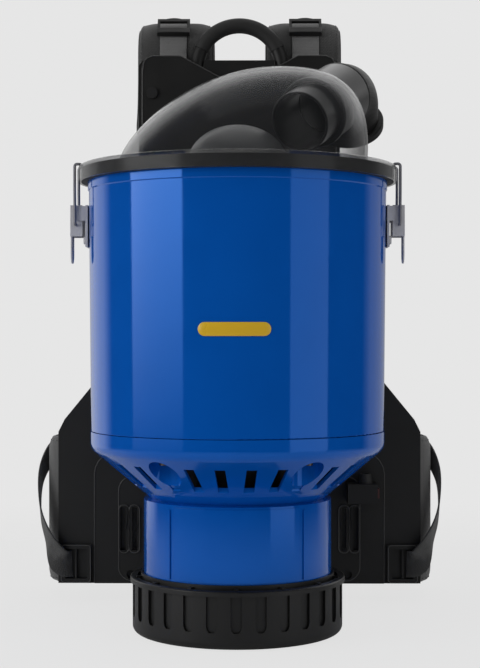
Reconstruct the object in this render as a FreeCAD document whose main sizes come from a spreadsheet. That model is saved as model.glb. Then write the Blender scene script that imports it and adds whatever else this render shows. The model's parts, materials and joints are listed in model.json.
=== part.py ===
import FreeCAD, Part
import math
import os
import re
import Sketcher
from FreeCAD import Placement, Rotation, Vector

# Backpack vacuum cleaner: a blue canister over a blue motor housing that stands in a fluted black
# base ring, under a clear domed lid with a swivelling hose inlet, on a black carrying harness.
# Millimetres. +Z is up, -Y is the front (away from the wearer) and +X is the right seen from there.
# The origin is the centre of the base ring's underside, on the canister's axis.

os.makedirs("parts", exist_ok=True)
doc = FreeCAD.newDocument("backpack_vacuum")

# ---------------------------------------------------------------- driving sizes

SIZES = {
    "general": {
        "seat_gap": 0.3,  # between a piece and what it is seated on
        "run_gap": 0.05,  # radial, between a pin and its hole
    },
    "base_ring": {
        "base_radius": 90.6,
        "base_wall": 4.2,
        "base_floor": 4.0,
        "base_blend": 6.0,
        "lip_radius": 92.7,
        "lip_top": 48.2,
        "lip_thick": 4.6,
        "collar_wall": 2.0,
        "collar_top": 51.5,
        "flute_count": 28,
        "flute_width": 9.2,
        "flute_depth": 2.4,
        "flute_foot": 14.0,
        "spoke_count": 14,
        "spoke_width": 3.2,
        "spoke_top": 49.4,
        "spoke_depth": 16.0,
    },
    "motor_housing": {
        "neck_radius": 81.0,
        "neck_top": 114.5,
        "housing_wall": 3.0,
        "cone_foot_radius": 75.8,
        "housing_radius": 126.8,
        "seam_height": 172.7,
        "band_height": 14.5,
        "shoulder_blend": 0.76,  # share of the band's height
        "panel_proud": 1.2,
        "panel_angle": 78.0,
        "panel_foot": 53.0,
        "panel_top": 112.6,
        "rib_angle": 43.5,
        "rib_width": 3.0,
        "vent_count": 28,
        "vent_width": 8.6,
        "vent_inner": 90.5,
        "vent_outer": 114.5,
        "screw_angle": 32.143,
        "screw_circle": 108.0,
        "scallop_radius": 13.2,
        "scallop_drop": 19.2,
        "boss_wall": 3.2,
        "screw_radius": 2.4,
        "screw_head_radius": 4.4,
        "screw_head": 3.0,
    },
    "canister": {
        "canister_foot_radius": 126.3,
        "canister_radius": 128.3,
        "canister_wall": 3.0,
        "canister_floor": 4.5,
        "rim_radius": 129.2,
        "rim_step": 378.6,
        "canister_top": 390.0,
        "intake_radius": 34.0,
        "intake_wall": 3.5,
        "intake_rise": 6.0,
        "post_radius": 6.0,
        "post_rise": 12.0,
    },
    "lid": {
        "flange_radius": 137.4,
        "flange_top": 400.2,
        "flange_thick": 3.0,
        "flange_round": 3.0,
        "skirt_foot": 386.4,
        "skirt_wall": 2.6,
        "dome_radius": 108.0,
        "dome_rise": 85.0,
        "dome_wall": 2.6,
        "dome_foot_shift": 3.9,
        "dome_top_shift": 40.0,
        "seal_drop": 3.6,
        "seal_lap": 4.0,
    },
    "inlet": {
        "inlet_east": 53.3,
        "inlet_front": 10.0,
        "inlet_height": 438.4,
        "inlet_yaw": 27.8,
        "inlet_pitch": 22.4,
        "pipe_radius": 26.5,
        "pipe_wall": 2.5,
        "pipe_length": 52.0,
        "boss_start": 28.0,
        "boss_end": 87.0,
        "boss_radius": 31.4,
        "boss_step": 32.0,
        "boss_neck": 30.0,
        "spigot_start": 55.0,
        "spigot_wall": 2.6,
        "elbow_radius": 28.0,
        "elbow_bend": 29.0,
        "elbow_angle": 70.0,
        "elbow_roll": 108.0,
        "cuff_length": 22.0,
        "cuff_radius": 33.0,
        "cuff_rim": 9.0,
        "hose_bore": 25.0,
        "oring_radius": 1.4,
        "oring_back": 12.0,
    },
    "latch": {
        "latch_pivot_out": 138.6,
        "latch_pivot_height": 362.6,
        "latch_pin_radius": 1.6,
        "bracket_plate": 2.0,
        "bracket_foot": 331.0,
        "ear_inner": 11.6,
        "ear_thick": 1.4,
        "ear_reach": 3.4,
        "lever_half_width": 11.0,
        "lever_sheet": 1.2,
        "lever_depth": 10.4,
        "lever_top": 366.8,
        "lever_cheek_foot": 340.0,
        "handle_foot": 317.0,
        "handle_half_width": 8.0,
        "bail_drop": 12.6,
        "bail_wire": 1.25,
        "bail_half_width": 15.2,
        "hook_reach": 2.4,
    },
    "filter": {
        "filter_foot_radius": 76.0,
        "filter_top_radius": 43.0,
        "filter_wall": 5.0,
        "filter_top": 403.8,
        "cap_rise": 33.0,
        "cap_wall": 2.0,
        "filter_seal_thick": 4.0,
    },
    "motor": {
        "fan_radius": 70.0,
        "fan_sheet": 1.4,
        "fan_drop": 4.7,  # under the canister's seam, filled by the gasket
        "fan_height": 49.4,
        "eye_radius": 24.0,
        "impeller_radius": 62.0,
        "impeller_gap": 3.0,
        "impeller_height": 15.0,
        "vane_count": 7,
        "shaft_radius": 4.0,
        "shaft_drop": 85.6,  # the shaft's and armature's feet hang from the fan case's foot
        "armature_radius": 22.0,
        "armature_drop": 54.6,
        "armature_length": 36.0,
        "commutator_radius": 12.0,
        "commutator_length": 12.0,
        "air_gap": 0.6,
        "stator_radius": 46.0,
        "frame_sheet": 3.0,
        "bearing_radius": 11.0,
        "bearing_width": 7.0,
        "brush_side": 6.0,
        "brush_length": 15.0,
        "holder_wall": 1.5,
        "holder_length": 24.0,
        "foam_wall": 11.0,
        "foam_foot": 22.0,
        "mount_radius": 26.0,
    },
    "harness": {
        "plate_front": 146.5,
        "plate_thick": 5.0,
        "plate_half_width": 97.0,
        "plate_top": 520.0,
        "plate_foot": 118.0,
        "yoke_thick": 3.5,
        "yoke_half_width": 94.5,
        "yoke_foot": 402.0,
        "yoke_top": 524.4,
        "yoke_valley": 504.0,
        "hip_thick": 5.0,
        "hip_half_width": 174.0,
        "hip_foot": 16.5,
        "hip_corner": 162.0,
        "hip_peak": 262.0,
        "step_thick": 1.6,
        "step_half_width": 139.0,
        "step_top": 132.0,
        "slot_east": 100.5,
        "slot_foot": 46.0,
        "slot_top": 92.0,
        "slot_half_width": 2.6,
        "slot_rim": 2.4,
        "bolt_radius": 3.0,
        "bolt_head_radius": 5.5,
        "bolt_head": 2.4,
        "saddle_half_width": 34.0,
        "saddle_height": 22.0,
        "saddle_low": 196.0,
        "saddle_drop": 52.0,
    },
    "handle": {
        "handle_radius": 41.0,
        "handle_tube": 6.8,
        "handle_core": 4.4,
        "handle_centre": 513.6,
        "handle_leg_foot": 492.0,
        "grip_start": 26.0,
    },
    "soft": {
        "pad_half_width": 35.5,
        "pad_east": 62.5,
        "pad_thick": 16.0,
        "pad_bend": 26.5,
        "pad_top": 565.0,
        "pad_root": 440.0,
        "pad_hang": 176.0,
        "pad_drape": 150.0,
        "loop_depth": 238.0,
        "load_east": 64.4,  # the load straps and buckles sit a little outside the pads' middle
        "webbing_width": 26.0,
        "webbing_thick": 1.6,
        "webbing_foot": 470.0,
        "webbing_turn": 66.0,
        "ladder_turn": 41.0,
        "ladder_tall": 22.0,
        "ladder_rim": 2.4,
        "ladder_bar": 3.6,
        "ladder_thick": 4.0,
        "back_pad_half_width": 84.0,
        "back_pad_thick": 20.0,
        "back_pad_foot": 168.0,
        "back_pad_top": 432.0,
        "hip_pad_inner": 91.0,
        "hip_pad_outer": 189.0,
        "hip_pad_thick": 16.0,
        "hip_pad_top": 160.0,
        "hip_pad_foot": 17.0,
        "hip_pad_back": 226.0,
        "hip_pad_bend": 26.0,
        "hip_pad_lean": 6.0,
        "belt_width": 38.0,
        "belt_lap": 40.0,
        "belt_north": 240.0,
        "belt_height": 66.0,
        "clasp_half_width": 30.0,
        "clasp_thick": 9.0,
    },
    "hip_strap": {
        "strap_width": 25.0,
        "strap_thick": 1.6,
        "buckle_inner": 142.0,
        "buckle_outer": 171.0,
        "buckle_foot": 17.2,
        "buckle_top": 54.0,
        "buckle_bar": 4.2,
        "buckle_thick": 4.5,
    },
    "switch": {
        "box_inner": 103.0,
        "box_outer": 131.0,
        "box_foot": 95.5,
        "box_top": 114.0,
        "box_depth": 24.0,
        "rocker_length": 12.0,
        "rocker_width": 9.0,
        "rocker_proud": 2.2,
        "gland_radius": 7.0,
        "gland_bore": 4.0,
        "gland_rise": 9.0,
    },
}

LEVELS = {  # heights that hang from one another
    "fan_top": "=seam_height - fan_drop",
    "fan_foot": "=fan_top - fan_height",
    "armature_foot": "=fan_foot - armature_drop",
    "shaft_foot": "=fan_foot - shaft_drop",
}

sheet = doc.addObject("Spreadsheet::Sheet", "Dims")
ALIASES = set()


def fill_sheet():
    """Every size gets a row: its group, its alias, and its plain number or its level."""
    row = 0
    for group, sizes in [*SIZES.items(), ("levels", LEVELS)]:
        for alias, number in sizes.items():
            row += 1
            sheet.set(f"A{row}", group)
            sheet.set(f"B{row}", alias)
            sheet.set(f"C{row}", str(number))
            sheet.setAlias(f"C{row}", alias)
            ALIASES.add(alias)
    doc.recompute()


fill_sheet()


def size(expression):
    """The number that an expression of sheet aliases gives."""
    value = sheet.evalExpression(expression)
    return float(getattr(value, "Value", value))


def link(expression):
    """The same expression as another object of the document reads it."""
    return re.sub(r"[a-z_]+", lambda word: "Dims." + word[0] if word[0] in ALIASES else word[0], expression)


def bind(item, prop, expression):
    value = size(expression)
    whole = prop == "Occurrences" or prop == "Polygon"
    setattr(item, prop, round(value) if whole else value)
    item.setExpression(prop, link(expression))


# ---------------------------------------------------------------- sketches and features

parts = []


def new_body(label):
    body = doc.addObject("PartDesign::Body", label)
    body.Label = label
    parts.append(body)
    return body


def origin_item(body, role):
    return next(item for item in body.Origin.OriginFeatures if item.Role == role)


def new_sketch(body, role, offset="0"):
    """A sketch on one of the body's origin planes, moved along that plane's normal."""
    sketch = body.newObject("Sketcher::SketchObject", "Sketch")
    sketch.AttachmentSupport = [(origin_item(body, role), "")]
    sketch.MapMode = "FlatFace"
    sketch.AttachmentOffset = Placement(Vector(0, 0, size(offset)), Rotation())
    sketch.setExpression("AttachmentOffset.Base.z", link(offset))
    return sketch


def hold_point(sketch, item, point, x, y):
    """Holds one point of a sketch at a pair of expressions, counted from the sketch's origin."""
    for kind, expression in (("DistanceX", x), ("DistanceY", y)):
        rule = Sketcher.Constraint(kind, -1, 1, item, point, size(expression))
        number = sketch.addConstraint(rule)
        sketch.setExpression(f"Constraints[{number}]", link(expression))


def outline(sketch, corners):
    """A closed outline of straight runs between corners, each a pair of expressions."""
    places = [Vector(size(x), size(y), 0) for x, y in corners]
    first = sketch.GeometryCount
    count = len(places)
    for i, place in enumerate(places):
        sketch.addGeometry(Part.LineSegment(place, places[(i + 1) % count]), False)
    for i in range(count):
        sketch.addConstraint(Sketcher.Constraint("Coincident", first + i, 2, first + (i + 1) % count, 1))
    for i, (x, y) in enumerate(corners):
        hold_point(sketch, first + i, 1, x, y)


def circle(sketch, x, y, radius):
    item = sketch.addGeometry(Part.Circle(Vector(size(x), size(y), 0), Vector(0, 0, 1), size(radius)), False)
    hold_point(sketch, item, 3, x, y)
    number = sketch.addConstraint(Sketcher.Constraint("Radius", item, size(radius)))
    sketch.setExpression(f"Constraints[{number}]", link(radius))


def rectangle(sketch, left, foot, right, top):
    outline(sketch, [(left, foot), (right, foot), (right, top), (left, top)])


def swept(body, kind, sketch, angle="360", midplane=False):
    """A Revolution or Groove of the sketch about its own vertical axis."""
    feature = body.newObject("PartDesign::" + kind, kind)
    feature.Profile = sketch
    feature.ReferenceAxis = (sketch, ["V_Axis"])
    bind(feature, "Angle", angle)
    feature.Midplane = midplane
    return feature


def pushed(body, kind, sketch, length, back=False, midplane=False):
    """A Pad or Pocket of the sketch. A pad goes along the sketch's normal and a pocket against it,
    unless it goes back."""
    feature = body.newObject("PartDesign::" + kind, kind)
    feature.Profile = sketch
    bind(feature, "Length", length)
    feature.Reversed = back
    feature.Midplane = midplane
    return feature


def around(body, feature, count):
    """The same feature repeated evenly about the vertical axis."""
    pattern = body.newObject("PartDesign::PolarPattern", "Around")
    pattern.Originals = [feature]
    pattern.Axis = (origin_item(body, "Z_Axis"), [""])
    pattern.Angle = 360
    bind(pattern, "Occurrences", count)
    body.Tip = pattern
    return pattern


def round_edges(body, blend, chosen, limit=None):
    """Rounds the edges of the body's last shape that the test picks."""
    doc.recompute()
    base = body.Tip
    names = [f"Edge{i}" for i, edge in enumerate(base.Shape.Edges, 1) if chosen(edge)]
    feature = body.newObject("PartDesign::Fillet", "Fillet")
    feature.Base = (base, names)
    bind(feature, "Radius", blend)
    return feature


def on_ring(radius, height):
    """True for a full circle of this radius at this height about the vertical axis."""
    def test(edge):
        curve = edge.Curve
        return (isinstance(curve, Part.Circle) and abs(curve.Radius - size(radius)) < 0.01
                and abs(curve.Center.z - size(height)) < 0.01
                and math.hypot(curve.Center.x, curve.Center.y) < 0.01)
    return test


def lathe(label, corners, rounds=()):
    """A body turned about the vertical axis. Corners are radius and height, and each round is a
    ring's radius, its height and its blend."""
    body = new_body(label)
    sketch = new_sketch(body, "XZ_Plane")
    outline(sketch, corners)
    swept(body, "Revolution", sketch)
    for radius, height, blend in rounds:
        round_edges(body, blend, on_ring(radius, height))
    return body


def tube_corners(inner, outer, foot, top):
    return [(inner, foot), (outer, foot), (outer, top), (inner, top)]


# ---------------------------------------------------------------- primitives and booleans


def primitive(kind, at=("0", "0", "0"), turn=None, **sizes):
    """A Part primitive whose sizes and place are bound to the sheet."""
    item = doc.addObject("Part::" + kind, kind)
    for prop, expression in sizes.items():
        bind(item, prop, expression)
    item.Placement = Placement(Vector(*(size(place) for place in at)), turn or Rotation())
    for axis, expression in zip("xyz", at):
        item.setExpression(f"Placement.Base.{axis}", link(expression))
    return item


def block(left, front, foot, right, back, top):
    """A box between two corners."""
    return primitive("Box", (left, front, foot), Length=f"({right}) - ({left})",
                     Width=f"({back}) - ({front})", Height=f"({top}) - ({foot})")


def rod(radius, height, at, turn=None):
    return primitive("Cylinder", at, turn, Radius=radius, Height=height)


TO_EAST = Rotation(Vector(0, 1, 0), 90)
TO_BACK = Rotation(Vector(1, 0, 0), -90)


def joined(*items):
    if len(items) == 1:
        return items[0]
    item = doc.addObject("Part::MultiFuse", "Fuse")
    item.Shapes = list(items)
    return item


def less(base, *tools):
    item = doc.addObject("Part::Cut", "Cut")
    item.Base = base
    item.Tool = joined(*tools)
    return item


def group(*items):
    """Separate solids in one node."""
    item = doc.addObject("Part::Compound", "Group")
    item.Links = list(items)
    return item


def keep(label, item):
    item.Label = label
    parts.append(item)
    return item


def shaped(label, shape, placement=None):
    """A sub-part whose shape is worked out from the sheet in code."""
    item = doc.addObject("Part::Feature", label)
    item.Label = label
    item.Shape = shape
    item.Placement = placement or Placement()
    parts.append(item)
    return item


def polar(radius, angle):
    """East and north of a point at a radius, its angle counted from the front towards the right."""
    return f"({radius}) * sin({angle})", f"-({radius}) * cos({angle})"


SCREW_ANGLES = ("screw_angle", "-screw_angle", "180 - screw_angle", "180 + screw_angle")
SHOULDER = "(seam_height - band_height)"  # top of the housing's cone
SCALLOP = "(seam_height - scallop_drop)"  # seat of the housing's screw heads


# ---------------------------------------------------------------- base ring and motor housing


def make_base_ring():
    """Fluted ring with a closed floor. Spokes join its wall to the collar round the neck."""
    inner = "base_radius - base_wall"
    collar = "neck_radius + 0.5"
    body = lathe("base_ring", [
        ("0", "0"), ("base_radius", "0"), ("base_radius", "lip_top - lip_thick"),
        ("lip_radius", "lip_top - lip_thick"), ("lip_radius", "lip_top"), (inner, "lip_top"),
        (inner, "base_floor"), (f"{collar} + collar_wall", "base_floor"),
        (f"{collar} + collar_wall", "collar_top"), (collar, "collar_top"),
        (collar, "base_floor"), ("0", "base_floor"),
    ], [("base_radius", "0", "base_blend"), ("lip_radius", "lip_top", "lip_thick / 3")])
    spoke = new_sketch(body, "XY_Plane", "spoke_top - spoke_depth")
    rectangle(spoke, "-spoke_width / 2", "-base_radius + base_wall / 2", "spoke_width / 2",
              f"-({collar} + collar_wall / 2)")
    around(body, pushed(body, "Pad", spoke, "spoke_depth"), "spoke_count")
    flute = new_sketch(body, "XZ_Plane", "base_radius - flute_depth")
    half = "flute_width / 2"
    bend = "flute_width * 0.2"
    outline(flute, [
        (f"-{half}", "lip_top - lip_thick"), (f"-{half}", f"flute_foot + {half}"),
        (f"-{half} + {bend} / 2", f"flute_foot + {bend}"), (f"-{half} + {bend} * 1.4", "flute_foot"),
        (f"{half} - {bend} * 1.4", "flute_foot"), (f"{half} - {bend} / 2", f"flute_foot + {bend}"),
        (half, f"flute_foot + {half}"), (half, "lip_top - lip_thick"),
    ])
    around(body, pushed(body, "Pocket", flute, "flute_depth + 3", back=True), "flute_count")


def cone_height(radius):
    """Height of the housing's outer cone at a radius."""
    run = "(housing_radius - cone_foot_radius)"
    return f"(neck_top + 1 + ({radius} - cone_foot_radius) * ({SHOULDER} - neck_top - 1) / {run})"


def make_motor_housing():
    """Neck, vented cone and upper band in one moulding, with four scalloped screw bosses."""
    shell = make_housing_shell()
    bosses = make_screw_bosses()
    cuts = []
    for angle in SCREW_ANGLES:
        east, north = polar("screw_circle", angle)
        cuts.append(rod("scallop_radius", f"{SCALLOP} - neck_top", (east, north, "neck_top")))
        cuts.append(rod("screw_radius + 0.2", "scallop_drop + 2", (east, north, f"{SCALLOP} - 1")))
    keep("motor_housing", less(joined(shell, bosses), *cuts))


def make_housing_shell():
    """The turned shell, its raised front panel, two upright ribs and the vent slots of the cone."""
    rise = f"({SHOULDER} - neck_top - 1)"
    run = "(housing_radius - cone_foot_radius)"
    drop = f"housing_wall * sqrt(1 + ({rise} / {run})^2)"
    inner = "housing_radius - housing_wall"
    throat = "cone_foot_radius - housing_wall"
    body = lathe("housing_shell", [
        ("neck_radius", "base_floor + seat_gap"), ("neck_radius", "neck_top"),
        ("cone_foot_radius", "neck_top + 1"), ("housing_radius", SHOULDER),
        ("housing_radius", "seam_height"), (inner, "seam_height"),
        (inner, f"{cone_height(inner)} + {drop}"), (throat, f"{cone_height(throat)} + {drop}"),
        (throat, "neck_top - housing_wall"), ("neck_radius - housing_wall", "neck_top - housing_wall"),
        ("neck_radius - housing_wall", "base_floor + seat_gap"),
    ], [("housing_radius", SHOULDER, "shoulder_blend * band_height")])
    panel = new_sketch(body, "YZ_Plane")
    rectangle(panel, "-neck_radius - panel_proud", "panel_foot", "-neck_radius + housing_wall / 2", "panel_top")
    swept(body, "Revolution", panel, "panel_angle", midplane=True)
    ribs = new_sketch(body, "XY_Plane", "panel_foot")
    for side in ("", "-"):
        rim = [("neck_radius - housing_wall / 2", -1), ("neck_radius - housing_wall / 2", 1),
               ("neck_radius + panel_proud", 1), ("neck_radius + panel_proud", -1)]
        outline(ribs, [polar(radius, f"{side}(rib_angle + ({turn}) * 57.3 * rib_width / 2 / neck_radius)")
                       for radius, turn in rim])
    pushed(body, "Pad", ribs, "neck_top - 4 - panel_foot")
    slots = new_sketch(body, "XY_Plane", "neck_top + housing_wall")
    angle = "180 / vent_count"
    across = [("vent_inner", -1), ("vent_inner", 1), ("vent_outer", 1), ("vent_outer", -1)]
    outline(slots, [
        (f"{radius} * sin({angle}) + ({side}) * vent_width / 2 * cos({angle})",
         f"-{radius} * cos({angle}) + ({side}) * vent_width / 2 * sin({angle})")
        for radius, side in across])
    slot = pushed(body, "Pocket", slots, f"{SHOULDER} - neck_top - housing_wall + 4", back=True)
    around(body, slot, "vent_count")
    parts.remove(body)
    return body


def make_screw_bosses():
    """Four posts trimmed just inside the cone's outer face."""
    body = new_body("screw_bosses")
    bosses = new_sketch(body, "XY_Plane", "neck_top + 4")
    for angle in SCREW_ANGLES:
        circle(bosses, *polar("screw_circle", angle), "scallop_radius + boss_wall")
    pushed(body, "Pad", bosses, "seam_height - neck_top - 4")
    trim = new_sketch(body, "XZ_Plane")
    outline(trim, [("cone_foot_radius", "neck_top + 2"), ("housing_radius", f"{SHOULDER} + 1"),
                   ("housing_radius + 20", f"{SHOULDER} + 1"), ("housing_radius + 20", "neck_top + 2")])
    swept(body, "Groove", trim)
    parts.remove(body)
    return body


def make_housing_screws():
    """Four pan-head screws up through the housing into the canister's floor."""
    screws = []
    for angle in SCREW_ANGLES:
        east, north = polar("screw_circle", angle)
        head = rod("screw_head_radius", "screw_head", (east, north, f"{SCALLOP} - seat_gap - screw_head"))
        shank = rod("screw_radius", "scallop_drop + canister_floor + post_rise + seat_gap - 3",
                    (east, north, f"{SCALLOP} - seat_gap - 1"))
        screws.append(joined(head, shank))
    keep("housing_screws", group(*screws))


# ---------------------------------------------------------------- canister and filter


def make_canister():
    """Drafted bucket with a stepped rim, an intake collar in its floor and four screw posts."""
    foot = "seam_height + 0.2"
    floor = f"({foot} + canister_floor)"
    body = lathe("canister", [
        ("intake_radius", foot), ("canister_foot_radius", foot), ("canister_radius", "rim_step"),
        ("rim_radius", "rim_step + 0.9"), ("rim_radius", "canister_top"),
        ("rim_radius - canister_wall", "canister_top"),
        ("canister_foot_radius - canister_wall", floor),
        ("intake_radius + intake_wall", floor),
        ("intake_radius + intake_wall", f"{floor} + intake_rise"),
        ("intake_radius", f"{floor} + intake_rise"),
    ], [("canister_foot_radius", foot, "0.8"), ("rim_radius", "canister_top", "1.2")])
    posts = new_sketch(body, "XY_Plane", f"{floor} - 1")
    for angle in SCREW_ANGLES:
        circle(posts, *polar("screw_circle", angle), "post_radius")
    pushed(body, "Pad", posts, "post_rise + 1")
    holes = new_sketch(body, "XY_Plane", f"{foot} - 1")
    for angle in SCREW_ANGLES:
        circle(holes, *polar("screw_circle", angle), "screw_radius + run_gap")
    pushed(body, "Pocket", holes, "canister_floor + post_rise - 2 + 1", back=True)


def make_filter():
    """Cone filter over the motor intake, with a domed cap and a foot seal."""
    floor = "(seam_height + 0.2 + canister_floor)"
    seat = f"({floor} + intake_rise)"
    lathe("filter_seal", [
        ("intake_radius + intake_wall + seat_gap", f"{floor} + seat_gap"),
        ("filter_foot_radius", f"{floor} + seat_gap"),
        ("filter_foot_radius", f"{floor} + filter_seal_thick"),
        ("intake_radius + intake_wall + seat_gap", f"{floor} + filter_seal_thick")])
    base = f"({floor} + filter_seal_thick + seat_gap)"
    inset = "filter_wall + 2"
    lathe("cone_filter", [
        (f"filter_foot_radius - {inset}", base), ("filter_foot_radius", base),
        ("filter_top_radius", "filter_top"), (f"filter_top_radius - {inset}", "filter_top")])
    cap = less(
        primitive("Ellipsoid", ("0", "0", "filter_top + seat_gap"), Radius1="cap_rise",
                  Radius2="filter_top_radius", Radius3="0", Angle1="0", Angle2="90"),
        primitive("Ellipsoid", ("0", "0", "filter_top + seat_gap - 0.01"), Radius1="cap_rise - cap_wall",
                  Radius2="filter_top_radius - cap_wall", Radius3="0", Angle1="0", Angle2="90"))
    keep("filter_cap", cap)


# ---------------------------------------------------------------- lid and inlet


DOME_LEVELS = ("0", "0.2", "0.4", "0.58", "0.74", "0.86", "0.94", "0.98", "0.997")


def dome_sections(body, wall, extra):
    """Circles of a dome that leans to the right: each level has a radius and a shift of its own."""
    sections = []
    for level in DOME_LEVELS:
        height = f"flange_top - flange_thick / 2 + {level} * (dome_rise - {wall} + flange_thick / 2)"
        if level == "0" and extra:
            height = "flange_top - flange_thick - 1"
        sketch = new_sketch(body, "XY_Plane", height)
        shift = f"dome_foot_shift + (dome_top_shift - dome_foot_shift) * {level}^1.4"
        circle(sketch, shift, "0", f"(dome_radius - {wall}) * (1 - {level}^1.7)^0.41")
        sections.append(sketch)
    return sections


def lofted(body, kind, sections):
    feature = body.newObject("PartDesign::" + kind, kind)
    feature.Profile = sections[0]
    feature.Sections = sections[1:]
    return feature


def inlet_direction():
    yaw, pitch = math.radians(size("inlet_yaw")), math.radians(size("inlet_pitch"))
    return Vector(math.cos(pitch) * math.sin(yaw), math.cos(pitch) * math.cos(yaw), math.sin(pitch))


def inlet_frame(along_axis=0.0, roll=0.0):
    """Frame on the inlet's axis: Z runs outwards through the dome, X turns with the roll."""
    out = inlet_direction()
    yaw, turn = math.radians(size("inlet_yaw")), math.radians(roll)
    level = Vector(math.cos(yaw), -math.sin(yaw), 0)
    side = level * math.cos(turn) + out.cross(level) * math.sin(turn)
    mouth = Vector(size("inlet_east"), -size("inlet_front"), size("inlet_height"))
    return Placement(mouth + out * along_axis, Rotation(side, out.cross(side), out, "ZXY"))


def make_lid():
    """Clear lid: a skirt and flat flange round a dome that leans to the right, holed for the inlet."""
    body = new_body("lid_dome")
    flange = new_sketch(body, "XZ_Plane")
    ring_inner = "dome_radius - dome_wall - 7"
    outline(flange, [
        (ring_inner, "flange_top - flange_thick"), ("flange_radius - skirt_wall", "flange_top - flange_thick"),
        ("flange_radius - skirt_wall", "skirt_foot"), ("flange_radius", "skirt_foot"),
        ("flange_radius", "flange_top"), (ring_inner, "flange_top")])
    swept(body, "Revolution", flange)
    round_edges(body, "flange_round", on_ring("flange_radius", "flange_top"))
    lofted(body, "AdditiveLoft", dome_sections(body, "0", False))
    lofted(body, "SubtractiveLoft", dome_sections(body, "dome_wall", True))
    hole = new_sketch(body, "XY_Plane")
    hole.AttachmentOffset = inlet_frame(size("boss_step") + 2)
    for axis in "xyz":
        hole.setExpression(f"AttachmentOffset.Base.{axis}", None)
    circle(hole, "0", "0", "boss_neck + 0.15")
    pushed(body, "Pocket", hole, "boss_end + 20 - boss_step", back=True)


def make_lid_seal():
    """Rubber ring inside the skirt that laps over the canister's rim."""
    outer = "flange_radius - skirt_wall - 0.1"
    lathe("lid_seal", [
        ("rim_radius - canister_wall - 0.5", "canister_top + seat_gap"),
        ("rim_radius + seat_gap", "canister_top + seat_gap"),
        ("rim_radius + seat_gap", "canister_top - seal_drop"), (outer, "canister_top - seal_drop"),
        (outer, "flange_top - flange_thick - 0.1"),
        ("rim_radius - canister_wall - 0.5", "flange_top - flange_thick - 0.1")])


def ring_solid(inner, outer, start, end):
    """Tube between two stations of the Z axis, as a plain shape."""
    whole = Part.makeCylinder(size(outer), size(end) - size(start), Vector(0, 0, size(start)))
    return whole.cut(Part.makeCylinder(size(inner), size(end) - size(start) + 2, Vector(0, 0, size(start) - 1)))


def make_inlet():
    """Pipe and collar that carry the inlet through the dome, on one slanting axis."""
    pipe = ring_solid("pipe_radius - pipe_wall", "pipe_radius", "0", "pipe_length")
    mouth = [edge for edge in pipe.Edges if isinstance(edge.Curve, Part.Circle) and edge.BoundBox.ZMax < 0.1]
    pipe = pipe.makeFillet(size("pipe_wall") * 0.45, mouth)
    shaped("inlet_pipe", pipe, inlet_frame())
    bore = "pipe_radius + run_gap"
    flange = ring_solid(bore, "boss_radius", "boss_start", "boss_step")
    front = [edge for edge in flange.Edges if abs(edge.BoundBox.ZMax - size("boss_start")) < 0.01
             and edge.Curve.Radius > size("boss_radius") - 0.01]
    collar = flange.makeFillet(1.6, front).fuse(ring_solid(bore, "boss_neck", "boss_step - 0.5", "boss_end"))
    groove = Part.makeTorus(size("pipe_radius"), size("oring_radius"), Vector(0, 0, size("boss_end - oring_back")))
    shaped("inlet_collar", collar.cut(groove).removeSplitter(), inlet_frame())


def pipe_along(wire, radius):
    """Round bar that follows a wire starting at the origin, going up."""
    profile = Part.Wire(Part.makeCircle(radius, Vector(0, 0, 0), Vector(0, 0, 1)))
    return wire.makePipeShell([profile], True, False)


def elbow_turn(angle):
    """Point and direction on the bend at an angle, in the elbow's own XZ plane."""
    bend, turn = size("elbow_bend"), math.radians(angle)
    point = Vector(bend * (1 - math.cos(turn)), 0, 2.0 + bend * math.sin(turn))
    return point, Vector(math.sin(turn), 0, math.cos(turn))


def elbow_route(length):
    """Short rise, bend and straight cuff."""
    angle = size("elbow_angle")
    start, middle, end = (elbow_turn(turn)[0] for turn in (0, angle / 2, angle))
    away = elbow_turn(angle)[1]
    runs = [Part.LineSegment(Vector(0, 0, 0), start), Part.Arc(start, middle, end),
            Part.LineSegment(end, end + away * length)]
    return Part.Wire([run.toShape() for run in runs])


def make_elbow():
    """Swivelling elbow: spigot in the collar, a bend, and a rimmed cuff with the hose's bore."""
    wall, length, rim = size("spigot_wall"), size("cuff_length"), size("cuff_rim")
    end, away = elbow_turn(size("elbow_angle"))
    end = end + away * length
    bore = size("pipe_radius - run_gap") - wall
    tube = pipe_along(elbow_route(length), size("elbow_radius"))
    flange = Part.makeCylinder(size("boss_neck"), 5.0)
    cuff = Part.makeCylinder(size("cuff_radius"), rim, end - away * rim, away)
    depth = size("boss_end - spigot_start + seat_gap")
    spigot = Part.makeCylinder(bore + wall, depth, Vector(0, 0, -depth))
    tube = tube.fuse([flange.makeFillet(1.6, flange.Edges), cuff.makeFillet(1.6, cuff.Edges), spigot])
    tube = tube.cut(pipe_along(elbow_route(length + 1.0), bore))
    tube = tube.cut(Part.makeCylinder(bore, depth + 2.0, Vector(0, 0, -depth - 1.0)))
    socket = length + 1.0
    tube = tube.cut(Part.makeCylinder(size("hose_bore"), socket, end - away * (socket - 1.0), away))
    groove = Part.makeTorus(size("pipe_radius"), size("oring_radius"), Vector(0, 0, -size("oring_back + seat_gap")))
    shaped("inlet_elbow", tube.cut(groove).removeSplitter(), inlet_frame(size("boss_end + seat_gap"), size("elbow_roll")))
    ring = Part.makeTorus(size("pipe_radius"), size("oring_radius") - 0.1, Vector(0, 0, size("boss_end - oring_back")))
    shaped("elbow_oring", ring, inlet_frame())


# ---------------------------------------------------------------- latches


def latch_x(side, out):
    """X of a point on the latch, counted outwards from the axis."""
    return f"{'-' if side < 0 else ''}({out})"


def spanning(side, inner, outer):
    """Left and right ends of a stretch counted outwards."""
    ends = [latch_x(side, inner), latch_x(side, outer)]
    return ends if side > 0 else ends[::-1]


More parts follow.
